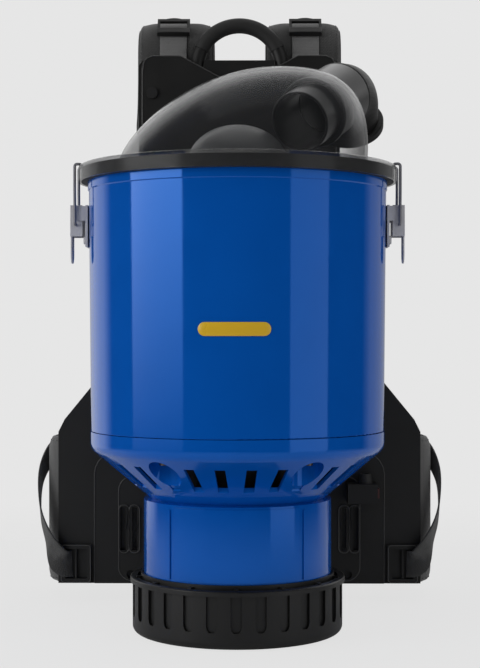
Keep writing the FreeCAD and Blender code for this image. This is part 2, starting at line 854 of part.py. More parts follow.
def latch_bracket(side):
    """Plate on the canister with two ears that hold the lever's pin."""
    inner = "canister_radius + seat_gap"
    left, right = spanning(side, inner, f"{inner} + bracket_plate")
    width = "ear_inner + ear_thick"
    plate = block(left, f"-({width})", "bracket_foot", right, width, "lever_top")
    tip = "latch_pivot_out"
    pieces = [plate]
    left, right = spanning(side, inner, tip)
    for front, back in (("ear_inner", width), (f"-({width})", "-ear_inner")):
        pieces.append(block(left, front, "latch_pivot_height - ear_reach - 6", right, back,
                            "latch_pivot_height + ear_reach"))
        pieces.append(rod("ear_reach", "ear_thick", (latch_x(side, tip), front, "latch_pivot_height"), TO_BACK))
    hole = rod("latch_pin_radius + run_gap", "3 * ear_inner",
               (latch_x(side, tip), "-1.5 * ear_inner", "latch_pivot_height"), TO_BACK)
    start = spanning(side, inner, f"{inner} + 5")[0]
    rivets = [rod("2.1", "5", (start, north, "bracket_foot + 6"), TO_EAST) for north in ("-7", "7")]
    return less(joined(*pieces), hole, *rivets)


def latch_rivets(side):
    inner = "canister_radius + seat_gap"
    rivets = []
    for north in ("-7", "7"):
        start = spanning(side, inner, f"{inner} + bracket_plate + 0.2")[0]
        shank = rod("2.0", "bracket_plate + 0.2", (start, north, "bracket_foot + 6"), TO_EAST)
        head_start = spanning(side, f"{inner} + bracket_plate + 0.1", f"{inner} + bracket_plate + 1.9")[0]
        head = rod("3.6", "1.8", (head_start, north, "bracket_foot + 6"), TO_EAST)
        rivets.append(joined(shank, head))
    return rivets


def latch_pin(side):
    length = "2 * (ear_inner + ear_thick + 0.4)"
    return rod("latch_pin_radius", length,
               (latch_x(side, "latch_pivot_out"), f"-({length}) / 2", "latch_pivot_height"), TO_BACK)


def latch_lever(side, label):
    """Pressed channel: an outer web that runs down into the thumb plate, and two cheeks."""
    web_out = "latch_pivot_out + 5.2"
    web_in = f"{web_out} - lever_sheet"
    cheek_in = f"{web_out} - lever_depth"
    left, right = spanning(side, web_in, web_out)
    pieces = [block(left, "-lever_half_width", "lever_cheek_foot", right, "lever_half_width", "lever_top"),
              block(left, "-handle_half_width", "handle_foot + handle_half_width", right,
                    "handle_half_width", "lever_cheek_foot + 1")]
    pieces.append(rod("handle_half_width", "lever_sheet", (left, "0", "handle_foot + handle_half_width"), TO_EAST))
    left, right = spanning(side, cheek_in, web_out)
    for front, back in (("lever_half_width - lever_sheet", "lever_half_width"),
                        ("-lever_half_width", "-lever_half_width + lever_sheet")):
        pieces.append(block(left, front, "lever_cheek_foot", right, back, "lever_top"))
    pin = rod("latch_pin_radius + run_gap", "3 * lever_half_width",
              (latch_x(side, "latch_pivot_out"), "-1.5 * lever_half_width", "latch_pivot_height"), TO_BACK)
    foot = rod("bail_wire + run_gap", "3 * lever_half_width",
               (latch_x(side, "latch_pivot_out + 0.6"), "-1.5 * lever_half_width",
                "latch_pivot_height - bail_drop"), TO_BACK)
    keep(label, less(joined(*pieces), pin, foot))


def rounded_route(points, radii):
    """Wire through points whose corners are arcs, all of one radius or each of its own."""
    if not isinstance(radii, list):
        radii = [radii] * (len(points) - 2)
    edges = []
    last = points[0]
    for before, corner, after, radius in zip(points, points[1:], points[2:], radii):
        into, out = (corner - before).normalize(), (after - corner).normalize()
        half = into.getAngle(out) / 2
        cut = radius * math.tan(half)
        start, end = corner - into * cut, corner + out * cut
        toward = (out - into).normalize()
        middle = corner + toward * (radius / math.cos(half) - radius)
        edges.append(Part.LineSegment(last, start).toShape())
        edges.append(Part.Arc(start, middle, end).toShape())
        last = end
    edges.append(Part.LineSegment(last, points[-1]).toShape())
    return Part.Wire(edges)


def latch_bail(side, label):
    """Wire loop from the lever's cheeks up to the chamfered edge of the lid's flange."""
    wire = size("bail_wire")
    half = size("bail_half_width")
    foot_in = size("lever_half_width - lever_sheet - 1.5")
    pivot_out, pivot_high = size("latch_pivot_out + 0.6"), size("latch_pivot_height - bail_drop")
    hook_out = size("flange_radius - hook_reach")
    hook_high = size("flange_top + seat_gap") + wire
    leg_out = size("flange_radius + seat_gap") + wire + 0.6
    route = []
    for north in (-1, 1):
        leg = [Vector(pivot_out, north * foot_in, pivot_high), Vector(pivot_out, north * half, pivot_high),
               Vector(leg_out, north * half, size("skirt_foot - 8")),
               Vector(leg_out, north * half, hook_high), Vector(hook_out, north * half, hook_high)]
        route += leg if north < 0 else leg[::-1]
    path = rounded_route(route, 2.2)
    start = path.Edges[0].tangentAt(path.Edges[0].FirstParameter)
    profile = Part.Wire(Part.makeCircle(wire, route[0], start))
    loop = path.makePipeShell([profile], True, False)
    if side < 0:
        loop = loop.mirror(Vector(0, 0, 0), Vector(1, 0, 0))
    shaped(label, loop)


def make_latches():
    sides = (("left", -1), ("right", 1))
    keep("latch_brackets", group(*(latch_bracket(side) for _, side in sides)))
    keep("latch_pins", group(*(latch_pin(side) for _, side in sides)))
    keep("latch_rivets", group(*(rivet for _, side in sides for rivet in latch_rivets(side))))
    for name, side in sides:
        latch_lever(side, f"latch_lever_{name}")
        latch_bail(side, f"latch_bail_{name}")


# ---------------------------------------------------------------- motor


def make_fan():
    """Two-stage suction fan: case, guide plate between the stages, and two impellers."""
    lathe("motor_gasket", tube_corners("eye_radius + 12", "eye_radius + 36", "fan_top + seat_gap",
                                       "seam_height"))
    lathe("fan_case", [
        ("fan_radius - fan_sheet", "fan_foot"), ("fan_radius", "fan_foot"), ("fan_radius", "fan_top"),
        ("eye_radius", "fan_top"), ("eye_radius", "fan_top - fan_sheet"),
        ("fan_radius - fan_sheet", "fan_top - fan_sheet")], [("fan_radius", "fan_top", "1.2")])
    guide = "(fan_foot + frame_sheet + impeller_gap + impeller_height + impeller_gap)"
    lathe("guide_plate", tube_corners("eye_radius - 8", "fan_radius - fan_sheet - 0.1", guide,
                                      f"{guide} + 4"))
    lower = "fan_foot + frame_sheet + impeller_gap"
    upper = f"({guide} + 4 + impeller_gap)"
    make_impeller("impeller_lower", lower)
    make_impeller("impeller_upper", upper)


def make_impeller(label, foot):
    """Two discs joined by upright vanes round a hub."""
    disc = "1.2"
    body = lathe(label, [
        ("shaft_radius", foot), ("impeller_radius", foot), ("impeller_radius", f"{foot} + {disc}"),
        ("shaft_radius + 4", f"{foot} + {disc}"), ("shaft_radius + 4", f"{foot} + impeller_height"),
        ("shaft_radius", f"{foot} + impeller_height")])
    cover = new_sketch(body, "XZ_Plane")
    vane = new_sketch(body, "XY_Plane", f"{foot} + {disc} / 2")
    rectangle(vane, "shaft_radius + 3", "-0.6", "impeller_radius - 0.5", "0.6")
    around(body, pushed(body, "Pad", vane, f"impeller_height - {disc}"), "vane_count")
    outline(cover, tube_corners("eye_radius - 8", "impeller_radius", f"{foot} + impeller_height - {disc}",
                                f"{foot} + impeller_height"))
    swept(body, "Revolution", cover)


def make_rotor():
    guide = "(fan_foot + frame_sheet + 2 * impeller_gap + impeller_height)"
    top = f"{guide} + 4 + impeller_gap + impeller_height + 3"
    keep("motor_shaft", rod("shaft_radius - 0.02", f"{top} - shaft_foot", ("0", "0", "shaft_foot")))
    inner = "shaft_radius"
    lathe("armature", tube_corners(inner, "armature_radius", "armature_foot",
                                   "armature_foot + armature_length"))
    foot = "armature_foot - 5 - commutator_length"
    lathe("commutator", tube_corners(inner, "commutator_radius", foot, f"{foot} + commutator_length"))


def make_stator():
    """Laminated field with its two windings, and the frame that carries it under the fan case."""
    bore = "armature_radius + air_gap"
    lathe("stator_core", tube_corners(bore, "stator_radius", "armature_foot + 1",
                                      "armature_foot + armature_length - 1"))
    coils = []
    for foot, top in (("armature_foot - 6", "armature_foot + 1"),
                      ("armature_foot + armature_length - 1", "armature_foot + armature_length + 6")):
        outer = rod("stator_radius - 6", f"({top}) - ({foot})", ("0", "0", foot))
        inner = rod("armature_radius + 5", f"({top}) - ({foot}) + 2", ("0", "0", f"({foot}) - 1"))
        gap = block("-4", "-stator_radius", f"({foot}) - 1", "4", "stator_radius", f"({top}) + 1")
        coils.append(less(outer, inner, gap))
    keep("field_coils", group(*coils))


def make_motor_frame():
    """Top plate under the fan case, three-sided basket round the field, and a bottom bearing bridge."""
    deck = "fan_foot - 0.1"
    wall_in = "stator_radius + 0.1"
    low = "shaft_foot + 2"
    low_bearing = f"{low} + bearing_width"
    body = lathe("motor_frame", [
        ("bearing_radius + 0.05", f"{deck} - bearing_width"), ("bearing_radius + 3", f"{deck} - bearing_width"),
        ("bearing_radius + 3", f"{deck} - frame_sheet"), (wall_in, f"{deck} - frame_sheet"),
        (wall_in, low), (f"{wall_in} + frame_sheet", low), (f"{wall_in} + frame_sheet", f"{deck} - frame_sheet"),
        ("fan_radius + 0.6", f"{deck} - frame_sheet"), ("fan_radius + 0.6", deck),
        ("bearing_radius + 0.05", deck)])
    bridge = new_sketch(body, "XZ_Plane")
    outline(bridge, [
        ("bearing_radius + 0.05", low), (f"{wall_in} + 1", low), (f"{wall_in} + 1", f"{low} + frame_sheet"),
        ("bearing_radius + 3", f"{low} + frame_sheet"), ("bearing_radius + 3", low_bearing),
        ("bearing_radius + 0.05", low_bearing)])
    swept(body, "Revolution", bridge)
    window = new_sketch(body, "XY_Plane", f"{low} + frame_sheet + 2")
    for angle in ("45", "135", "225", "315"):
        circle(window, *polar(f"{wall_in} + frame_sheet / 2", angle), "16")
    pushed(body, "Pocket", window, f"{deck} - frame_sheet - {low} - frame_sheet - 6", back=True)
    lathe("upper_bearing", tube_corners("shaft_radius", "bearing_radius", f"{deck} - bearing_width", deck))
    lathe("lower_bearing", tube_corners("shaft_radius", "bearing_radius", low, low_bearing))


def make_brushes():
    """Two carbon brushes in brass holders, front and back of the commutator."""
    middle = "armature_foot - 5 - commutator_length / 2"
    half, hole = "brush_side / 2", "brush_side / 2 + 0.1"
    shell = f"{hole} + holder_wall"
    near, far = "commutator_radius + 0.05", "stator_radius - 0.4"
    brushes, holders = [], []
    for sign in ("", "-"):
        ends = [f"{sign}({near})", f"{sign}({near} + brush_length)"]
        ends = ends if sign == "" else ends[::-1]
        brushes.append(block(f"-{half}", ends[0], f"{middle} - {half}", half, ends[1], f"{middle} + {half}"))
        ends = [f"{sign}({near} + 3)", f"{sign}({far})"]
        ends = ends if sign == "" else ends[::-1]
        outer = block(f"-({shell})", ends[0], f"{middle} - ({shell})", shell, ends[1], f"{middle} + {shell}")
        inner = block(f"-({hole})", f"{ends[0]} - 1", f"{middle} - ({hole})", hole, f"{ends[1]} + 1",
                      f"{middle} + {hole}")
        holders.append(less(outer, inner))
    keep("carbon_brushes", group(*brushes))
    keep("brush_holders", group(*holders))


def make_motor_trim():
    """Foam lining in the neck, rubber foot under the motor and a foam disc on the base's floor."""
    lathe("motor_foam", tube_corners("neck_radius - housing_wall - 0.3 - foam_wall",
                                     "neck_radius - housing_wall - 0.3", "foam_foot",
                                     "fan_foot - frame_sheet - 10"))
    foam_top = "base_floor + seat_gap + 10"
    lathe("exhaust_foam", [("0", "base_floor + seat_gap"),
                           ("neck_radius - housing_wall - 0.4", "base_floor + seat_gap"),
                           ("neck_radius - housing_wall - 0.4", foam_top), ("0", foam_top)])
    lathe("motor_foot", tube_corners("bearing_radius + 4", "mount_radius", f"{foam_top} + seat_gap",
                                     "shaft_foot + 2 - 0.1"))


# ---------------------------------------------------------------- harness


def plate(label, corners, front, thick):
    """Flat plate upright across the back: corners are X and Z."""
    body = new_body(label)
    sketch = new_sketch(body, "XZ_Plane", f"-({front} + {thick})")
    outline(sketch, corners)
    pushed(body, "Pad", sketch, thick)
    return body


def both_sides(points):
    """An outline mirrored about the middle, from points of its right half."""
    return points + [(f"-({x})", z) for x, z in points[::-1]]


BOLTS = (("84", "488"), ("84", "420"), ("84", "238"), ("84", "134"))


def bolt_places():
    return [(f"{sign}({x})", z) for x, z in BOLTS for sign in ("", "-")]


def make_back_plate():
    """Tall plate with notches for the handle's legs and two saddles that reach the canister."""
    body = plate("back_plate", both_sides([
        ("handle_radius - handle_tube - 0.4", "plate_top"),
        ("handle_radius - handle_tube - 0.4", "handle_leg_foot - 0.4"),
        ("handle_radius + handle_tube + 0.4", "handle_leg_foot - 0.4"),
        ("handle_radius + handle_tube + 0.4", "plate_top"),
        ("plate_half_width - 4", "plate_top"), ("plate_half_width", "plate_top - 5"),
        ("plate_half_width", "plate_foot"),
    ]), "plate_front", "plate_thick")
    for height in ("saddle_low", "yoke_foot - saddle_drop"):
        arm = new_sketch(body, "XY_Plane", height)
        rectangle(arm, "-saddle_half_width", "canister_foot_radius - 14", "saddle_half_width",
                  "plate_front + plate_thick / 2")
        pushed(body, "Pad", arm, "saddle_height")
    hollow = new_sketch(body, "XZ_Plane")
    run = "(canister_radius - canister_foot_radius) / (rim_step - seam_height)"
    outline(hollow, [("0", "seam_height"), ("canister_foot_radius + seat_gap", "seam_height"),
                     (f"canister_radius + seat_gap - 2 * {run}", "rim_step"), ("0", "rim_step")])
    swept(body, "Groove", hollow)
    bolt_holes(body, "plate_front + plate_thick")


def bolt_holes(body, back):
    holes = new_sketch(body, "XZ_Plane", f"-({back} + 1)")
    for x, z in bolt_places():
        circle(holes, x, z, "bolt_radius + 0.1")
    feature = pushed(body, "Pocket", holes, "plate_thick + hip_thick + 4")
    feature.Reversed = True
    return feature


def make_yoke():
    """Front cover plate of the upper harness, with two lobes over the shoulder straps."""
    body = plate("yoke_cover", both_sides([
        ("20", "yoke_valley"), ("58", "yoke_top"), ("yoke_half_width - 10", "yoke_top"),
        ("yoke_half_width - 2", "yoke_top - 5"), ("yoke_half_width", "yoke_top - 14"),
        ("yoke_half_width", "yoke_foot + 6"), ("yoke_half_width - 6", "yoke_foot"),
    ]), "plate_front - yoke_thick", "yoke_thick")
    round_edges(body, "0.8", lambda edge: edge.BoundBox.YMax < size("plate_front - yoke_thick") + 0.01)
    holes = new_sketch(body, "XZ_Plane", "-(plate_front + 1)")
    for x, z in bolt_places():
        if size(z) > size("yoke_foot"):
            circle(holes, x, z, "bolt_radius + 0.1")
    pushed(body, "Pocket", holes, "yoke_thick + 4", back=True)


def make_hip_plate():
    """Wide lower plate with a raised middle, long strap slots and shallow rims round them."""
    front = "(plate_front - hip_thick)"
    body = plate("hip_plate", both_sides([
        ("plate_half_width", "hip_peak"), ("141", "207"), ("168", "174"),
        ("hip_half_width", "hip_corner"), ("hip_half_width", "hip_foot"),
    ]), front, "hip_thick")
    step = new_sketch(body, "XZ_Plane", f"-({front} + 0.5)")
    outline(step, both_sides([
        ("plate_half_width", "step_top + 26"), ("step_half_width - 10", "step_top + 8"),
        ("step_half_width - 3", "step_top"), ("step_half_width", "step_top - 10"),
        ("step_half_width", "hip_foot"),
    ]))
    pushed(body, "Pad", step, "step_thick + 0.5")
    rims = new_sketch(body, "XZ_Plane", f"-({front} - step_thick + 0.5)")
    for sign in ("", "-"):
        for east in ("slot_east", "slot_east + 11"):
            reach = "slot_half_width + slot_rim"
            outline(rims, [(f"{sign}({east} + {x})", z) for x, z in (
                (f"(-{reach})", f"slot_foot + {reach}"), ("(-slot_half_width)", "slot_foot"),
                ("slot_half_width", "slot_foot"), (reach, f"slot_foot + {reach}"),
                (reach, f"slot_top - ({reach})"), ("slot_half_width", "slot_top"),
                ("(-slot_half_width)", "slot_top"), (f"(-({reach}))", f"slot_top - ({reach})"))])
    pushed(body, "Pad", rims, "1.2 + 0.5")
    slots = new_sketch(body, "XZ_Plane", "-(plate_front + 1)")
    for sign in ("", "-"):
        rectangle(slots, f"{sign}(slot_east) - slot_half_width", "slot_foot + slot_rim",
                  f"{sign}(slot_east) + slot_half_width", "slot_top - slot_rim")
    pushed(body, "Pocket", slots, "hip_thick + step_thick + 6", back=True)
    shallow = new_sketch(body, "XZ_Plane", f"-({front} + 2)")
    for sign in ("", "-"):
        rectangle(shallow, f"{sign}(slot_east + 11) - slot_half_width", "slot_foot + slot_rim",
                  f"{sign}(slot_east + 11) + slot_half_width", "slot_top - slot_rim")
        circle(shallow, f"{sign}104", "25", "4.3")
    pushed(body, "Pocket", shallow, "step_thick + 6", back=True)
    holes = new_sketch(body, "XZ_Plane", "-(plate_front + 1)")
    rectangle(holes, "-saddle_half_width - 0.5", "saddle_low - 0.5", "saddle_half_width + 0.5",
              "saddle_low + saddle_height + 0.5")
    for x, z in bolt_places():
        if size(z) < size("hip_peak"):
            circle(holes, x, z, "bolt_radius + 0.1")
    pushed(body, "Pocket", holes, "hip_thick + step_thick + 6", back=True)


def make_harness_bolts():
    """Button-head bolts that hold the yoke cover and the hip plate to the back plate."""
    bolts = []
    for x, z in bolt_places():
        upper = size(z) > size("yoke_foot")
        front = "plate_front - yoke_thick" if upper else "plate_front - hip_thick - step_thick"
        head = rod("bolt_head_radius", "bolt_head", (x, f"{front} - 0.1 - bolt_head", z), TO_BACK)
        shank = rod("bolt_radius", f"plate_front + plate_thick - ({front}) + 0.1", (x, f"{front} - 0.2", z), TO_BACK)
        bolts.append(joined(head, shank))
    keep("harness_bolts", group(*bolts))


def make_handle():
    """Carrying handle: two legs and a thin core arch, with an over-moulded grip round the arch."""
    north = "plate_front + handle_tube + 0.3"
    centre = ("0", north, "handle_centre")
    stand = Rotation(Vector(1, 0, 0), 90)
    core = primitive("Torus", centre, stand, Radius1="handle_radius", Radius2="handle_core",
                     Angle1="-180", Angle2="180", Angle3="180")
    pieces = [core]
    for turn, sign in ((0, ""), (180, "-")):
        start = stand if turn == 0 else stand.multiply(Rotation(Vector(0, 0, 1), 180 - size("grip_start")))
        pieces.append(primitive("Torus", centre, start, Radius1="handle_radius", Radius2="handle_tube",
                                Angle1="-180", Angle2="180", Angle3="grip_start"))
        pieces.append(rod("handle_tube", "handle_centre - handle_leg_foot",
                          (f"{sign}handle_radius", north, "handle_leg_foot")))
    keep("carry_handle", joined(*pieces))
    spin = stand.multiply(Rotation(Vector(0, 0, 1), size("grip_start + 0.3")))
    sweep = "180 - 2 * grip_start - 0.6"
    grip = primitive("Torus", centre, spin, Radius1="handle_radius", Radius2="handle_tube + 0.5",
                     Angle1="-180", Angle2="180", Angle3=sweep)
    bore = primitive("Torus", centre, stand, Radius1="handle_radius", Radius2="handle_core + 0.05",
                     Angle1="-180", Angle2="180", Angle3="180")
    keep("handle_grip", less(grip, bore))


# ---------------------------------------------------------------- soft goods and webbing


def band_solid(points, radius, thick, low, high, axis):
    """Band of even thickness along a rounded route, as wide as from low to high along an axis."""
    path = rounded_route(points, radius)
    start = points[0]
    tangent = (points[1] - points[0]).normalize()
    across = Vector(0, 0, 1) if axis == "z" else Vector(1, 0, 0)
    normal = tangent.cross(across).normalize()
    base = Vector(start)
    setattr(base, axis, low)
    corners = [base + normal * (thick / 2), base - normal * (thick / 2)]
    rise = across * (high - low)
    profile = Part.makePolygon([corners[0], corners[1], corners[1] + rise, corners[0] + rise, corners[0]])
    return path.makePipeShell([profile], True, False)


def shoulder_route(side):
    """Shoulder strap's middle line, seen from the side: up behind the plate, over, and down."""
    near = size("plate_front + plate_thick + handle_tube * 1.5 + seat_gap + pad_thick / 2")
    far = size("loop_depth - pad_thick / 2")
    top = size("pad_top - pad_thick / 2")
    x = side * size("pad_east")
    return [Vector(x, near, size("pad_root")), Vector(x, near, top), Vector(x, near + 2 * size("pad_bend") + 4, top),
            Vector(x, far, size("pad_hang + pad_drape")), Vector(x, far - 10, size("pad_hang"))]


def make_shoulder_pads():
    for name, side in (("left", -1), ("right", 1)):
        half = size("pad_half_width")
        middle = side * size("pad_east")
        pad = band_solid(shoulder_route(side), size("pad_bend"), size("pad_thick"),
                         middle - half, middle + half, "x")
        shaped(f"shoulder_pad_{name}", pad)


def roll_centre():
    """Centre of the shoulder roll's bend, and the radius of its outer face, seen from the side."""
    outer = size("pad_bend + pad_thick / 2")
    north = size("plate_front + plate_thick + handle_tube * 1.5 + seat_gap") + outer
    return north, size("pad_top") - outer, outer


def make_shoulder_webbing():
    """Load strap from behind the back plate up over the front of each roll, to its ladder buckle."""
    half, thick = size("webbing_width / 2"), size("webbing_thick")
    low = size("plate_front + plate_thick + seat_gap") + thick / 2
    north, height, outer = roll_centre()
    reach = outer + size("seat_gap") + thick / 2
    turn = math.radians(size("webbing_turn"))
    corner = height + reach * math.tan(turn / 2)
    past = reach * math.tan(turn / 2) + 1.0
    route = [(low, size("webbing_foot")), (low, size("plate_top - 6")), (north - reach, size("plate_top + 8")),
             (north - reach, corner), (north - reach + past * math.sin(turn), corner + past * math.cos(turn))]
    straps, buckles = [], []
    for side in (-1, 1):
        east = side * size("load_east")
        points = [Vector(east, y, z) for y, z in route]
        straps.append(band_solid(points, [4.0, 4.0, reach], thick, east - half, east + half, "x"))
        buckles.append(ladder_buckle(east))
    shaped("shoulder_webbing", Part.makeCompound(straps))
    shaped("ladder_buckles", Part.makeCompound(buckles))


def ladder_buckle(east):
    """Three-bar buckle that lies on the webbing at the front of the roll."""
    inner, rim, bar = size("webbing_width + 0.8"), size("ladder_rim"), size("ladder_bar")
    tall, thick = size("ladder_tall"), size("ladder_thick")
    frame = Part.makeBox(inner + 2 * rim, tall, thick, Vector(-inner / 2 - rim, -tall / 2, 0))
    window = (tall - 3 * bar) / 2
    holes = [Part.makeBox(inner, window, thick + 2, Vector(-inner / 2, foot, -1))
             for foot in (bar - tall / 2, bar / 2)]
    frame = frame.cut(holes)
    north, height, outer = roll_centre()
    reach = outer + size("webbing_thick + 2 * seat_gap")
    turn = math.radians(size("ladder_turn"))
    frame.Placement = Placement(Vector(east, north - reach * math.cos(turn), height + reach * math.sin(turn)),
                                Rotation(Vector(1, 0, 0), 90 - size("ladder_turn")))
    return frame


def make_back_pad():
    """Foam cushion between the plate and the wearer's back."""
    body = new_body("back_pad")
    front = "plate_front + plate_thick + seat_gap"
    sketch = new_sketch(body, "XZ_Plane", f"-({front} + back_pad_thick)")
    outline(sketch, both_sides([
        ("back_pad_half_width - 18", "back_pad_top"), ("back_pad_half_width", "back_pad_top - 18"),
        ("back_pad_half_width", "back_pad_foot + 18"), ("back_pad_half_width - 18", "back_pad_foot")]))
    pushed(body, "Pad", sketch, "back_pad_thick")
    round_edges(body, "back_pad_thick * 0.35",
                lambda edge: edge.BoundBox.YMin > size(f"{front} + back_pad_thick") - 0.01)


def hip_route(side):
    """Middle line of the hip wing, seen from above: behind the plate, then back round the waist."""
    near = size("plate_front + plate_thick + seat_gap + hip_pad_thick / 2")
    out = size("hip_pad_outer - hip_pad_thick / 2")
    z = size("hip_pad_foot")
    return [Vector(side * size("hip_pad_inner"), near, z), Vector(side * out, near, z),
            Vector(side * (out - size("hip_pad_lean")), size("hip_pad_back"), z)]


def make_hip_pads():
    for name, side in (("left", -1), ("right", 1)):
        pad = band_solid(hip_route(side), size("hip_pad_bend"), size("hip_pad_thick"),
                         size("hip_pad_foot"), size("hip_pad_top"), "z")
        shaped(f"hip_pad_{name}", pad)


def make_hip_buckles():
    """Rectangular strap frames low on the hip plate's front."""
    frames = []
    front = "plate_front - hip_thick - 0.1"
    for sign in ("", "-"):
        ends = (f"{sign}buckle_inner", f"{sign}buckle_outer")
        left, right = ends if sign == "" else ends[::-1]
        shell = block(left, f"{front} - buckle_thick", "buckle_foot", right, front, "buckle_top")
        window = block(f"{left} + buckle_bar", f"{front} - buckle_thick - 1", "buckle_foot + buckle_bar",
                       f"{right} - buckle_bar", f"{front} + 1", "buckle_top - buckle_bar")
        bar = rod("buckle_thick * 0.3", "buckle_top - buckle_foot - 2",
                  (f"({left} + ({right})) / 2", f"{front} - buckle_thick / 2", "buckle_foot + 1"))
        frames.append(joined(less(shell, window), bar))
    keep("hip_buckles", group(*frames))


def make_hip_straps():
    """Webbing from behind each hip pad, bowed out past its side and back in to the front buckle."""
    wide, thick = size("strap_width"), size("strap_thick")
    flank, front, high = size("hip_pad_outer"), size("plate_front"), size("hip_pad_top")
    edge, hold = size("hip_half_width"), size("buckle_outer - buckle_bar")
    face = front - size("hip_thick + 0.1")
    over = face - size("buckle_thick + seat_gap + strap_thick / 2")
    middle = size("(buckle_foot + buckle_top) / 2")
    straps = []
    for side in (-1, 1):
        stations = (  # off the pad's side, round the plate's edge and through the buckle: place and turn
            (flank - 0.4, front + 54.0, high * 0.94, -8.0), (flank + 3.2, front + 36.0, high * 0.85, -6.0),
            (flank + 5.4, front + 22.0, high * 0.74, -2.0), (flank + 5.2, front + 11.0, high * 0.62, 3.0),
            (edge + 17.0, front + 1.0, high * 0.49, 9.0), (edge + 10.0, over + 4.5, high * 0.365, 20.0),
            (edge + 4.0, over + 0.8, middle + 7.0, 50.0), (edge - 1.0, over, middle + 1.5, 82.0),
            (hold - 1.0, over + 0.3, middle, 90.0), (hold - 6.2, over + 3.4, middle, 90.0))
        rings = []
        for i, (east, north, height, turn) in enumerate(stations):
            centre = Vector(side * east, north, height)
            near, far = stations[max(i - 1, 0)], stations[min(i + 1, len(stations) - 1)]
            run = Vector(side * (far[0] - near[0]), far[1] - near[1], far[2] - near[2]).normalize()
            flat = Vector(side * math.cos(math.radians(turn)), -math.sin(math.radians(turn)), 0)
            across = run.cross(flat).normalize()
            flat = across.cross(run).normalize()
            corners = [centre + across * (wide / 2 * a) + flat * (thick / 2 * f)
                       for a, f in ((-1, -1), (1, -1), (1, 1), (-1, 1))]
            rings.append(Part.makePolygon(corners + corners[:1]))
        straps.append(Part.makeLoft(rings, True, True))
    shaped("hip_straps", Part.makeCompound(straps))


def belt_route(side):
    """Waist webbing from the wing's outer face, round its end and in to the clasp."""
    out = size("hip_pad_outer + seat_gap + strap_thick / 2") + 0.2
    z = size("belt_height - belt_width / 2")
    length = size("hip_pad_back - plate_front - plate_thick - seat_gap - hip_pad_thick / 2")
    lean = size("hip_pad_lean") / length
    reach = size("belt_north + strap_thick / 2")
    return [Vector(side * (out - lean * (length - size("belt_lap"))), size("hip_pad_back - belt_lap"), z),
            Vector(side * (out - lean * (reach - size("hip_pad_back") + length)), reach, z),
            Vector(side * size("clasp_half_width - 6"), reach, z)]


def make_belt():
    """Waist webbing between the wings' ends, closed by a clasp of two halves."""
    foot, top = "belt_height - belt_width / 2", "belt_height + belt_width / 2"
    straps = [band_solid(belt_route(side), 9.0, size("strap_thick"), size(foot), size(top), "z")
              for side in (-1, 1)]
    shaped("waist_webbing", Part.makeCompound(straps))
    north = "belt_north"
    back, thick = f"{north} - clasp_thick / 2", "clasp_thick"
    socket = less(block("-clasp_half_width", back, f"{foot} - 4", "4", f"{back} + {thick}", f"{top} + 4"),
                  block("-12", f"{back} + 2", f"{foot} + 2", "5", f"{back} + {thick} - 2", f"{top} - 2"),
                  block("-clasp_half_width - 1", f"{north} - 0.2", f"{foot} - 0.3", "-clasp_half_width + 7",
                        f"{north} + strap_thick + 0.2", f"{top} + 0.3"))
    keep("clasp_socket", socket)
    plug = less(joined(
        block("4.2", back, f"{foot} - 4", "clasp_half_width", f"{back} + {thick}", f"{top} + 4"),
        block("-11.5", f"{back} + 2.3", f"{foot} + 3", "6", f"{back} + {thick} - 2.3", f"{foot} + 9"),
        block("-11.5", f"{back} + 2.3", f"{top} - 9", "6", f"{back} + {thick} - 2.3", f"{top} - 3")),
        block("clasp_half_width - 7", f"{north} - 0.2", f"{foot} - 0.3", "clasp_half_width + 1",
              f"{north} + strap_thick + 0.2", f"{top} + 0.3"))
    keep("clasp_plug", plug)


# ---------------------------------------------------------------- switch and cord gland


def make_switch():
    """Switch box on the hip plate's right, its rocker on the outer side, and the lead's gland on top."""
    back = "plate_front - hip_thick - step_thick - 0.1"
    front = f"{back} - box_depth"
    middle_z, middle_y = "(box_foot + box_top) / 2", f"({back} - box_depth / 2)"
    shell = block("box_inner", front, "box_foot", "box_outer", back, "box_top")
    pocket = block("box_outer - 6", f"{middle_y} - rocker_length / 2 - 0.3", f"{middle_z} - rocker_width / 2 - 0.3",
                   "box_outer + 1", f"{middle_y} + rocker_length / 2 + 0.3", f"{middle_z} + rocker_width / 2 + 0.3")
    gland_x = "(box_inner + box_outer) / 2 + 3"
    hole = rod("gland_radius - 1.5", "8", (gland_x, middle_y, "box_top - 6"))
    keep("switch_box", less(shell, pocket, hole))
    pivot = primitive("Cylinder", ("box_outer - 3.4", middle_y, f"{middle_z} - rocker_width / 2"),
                      None, Radius="2.2", Height="rocker_width")
    cap = block("box_outer - 2.2", f"{middle_y} - rocker_length / 2 + 0.6", f"{middle_z} - rocker_width / 2",
                "box_outer + rocker_proud", f"{middle_y} + rocker_length / 2 - 0.6", f"{middle_z} + rocker_width / 2")
    keep("switch_rocker", joined(pivot, cap))
    cone = primitive("Cone", (gland_x, middle_y, "box_top + 0.1"), None, Radius1="gland_radius",
                     Radius2="gland_radius - 1.6", Height="gland_rise")
    stem = rod("gland_radius - 1.6", "5.6", (gland_x, middle_y, "box_top - 5.4"))
    bore = rod("gland_bore", "gland_rise + 8", (gland_x, middle_y, "box_top - 6.4"))
    keep("cord_gland", less(joined(cone, stem), bore))


# ---------------------------------------------------------------- build, test and write


def build():
    make_base_ring()
    make_motor_housing()
    make_housing_screws()
    make_canister()
    make_filter()
    make_lid()
    make_lid_seal()
    make_inlet()
    make_elbow()
    make_latches()
    make_fan()
    make_rotor()
    make_stator()
    make_motor_frame()
    make_brushes()
    make_motor_trim()
    make_back_plate()
    make_yoke()
    make_hip_plate()
    make_harness_bolts()
    make_handle()
    make_shoulder_pads()
    make_shoulder_webbing()
    make_back_pad()
    make_hip_pads()
    make_hip_buckles()
    make_hip_straps()
    make_belt()
    make_switch()


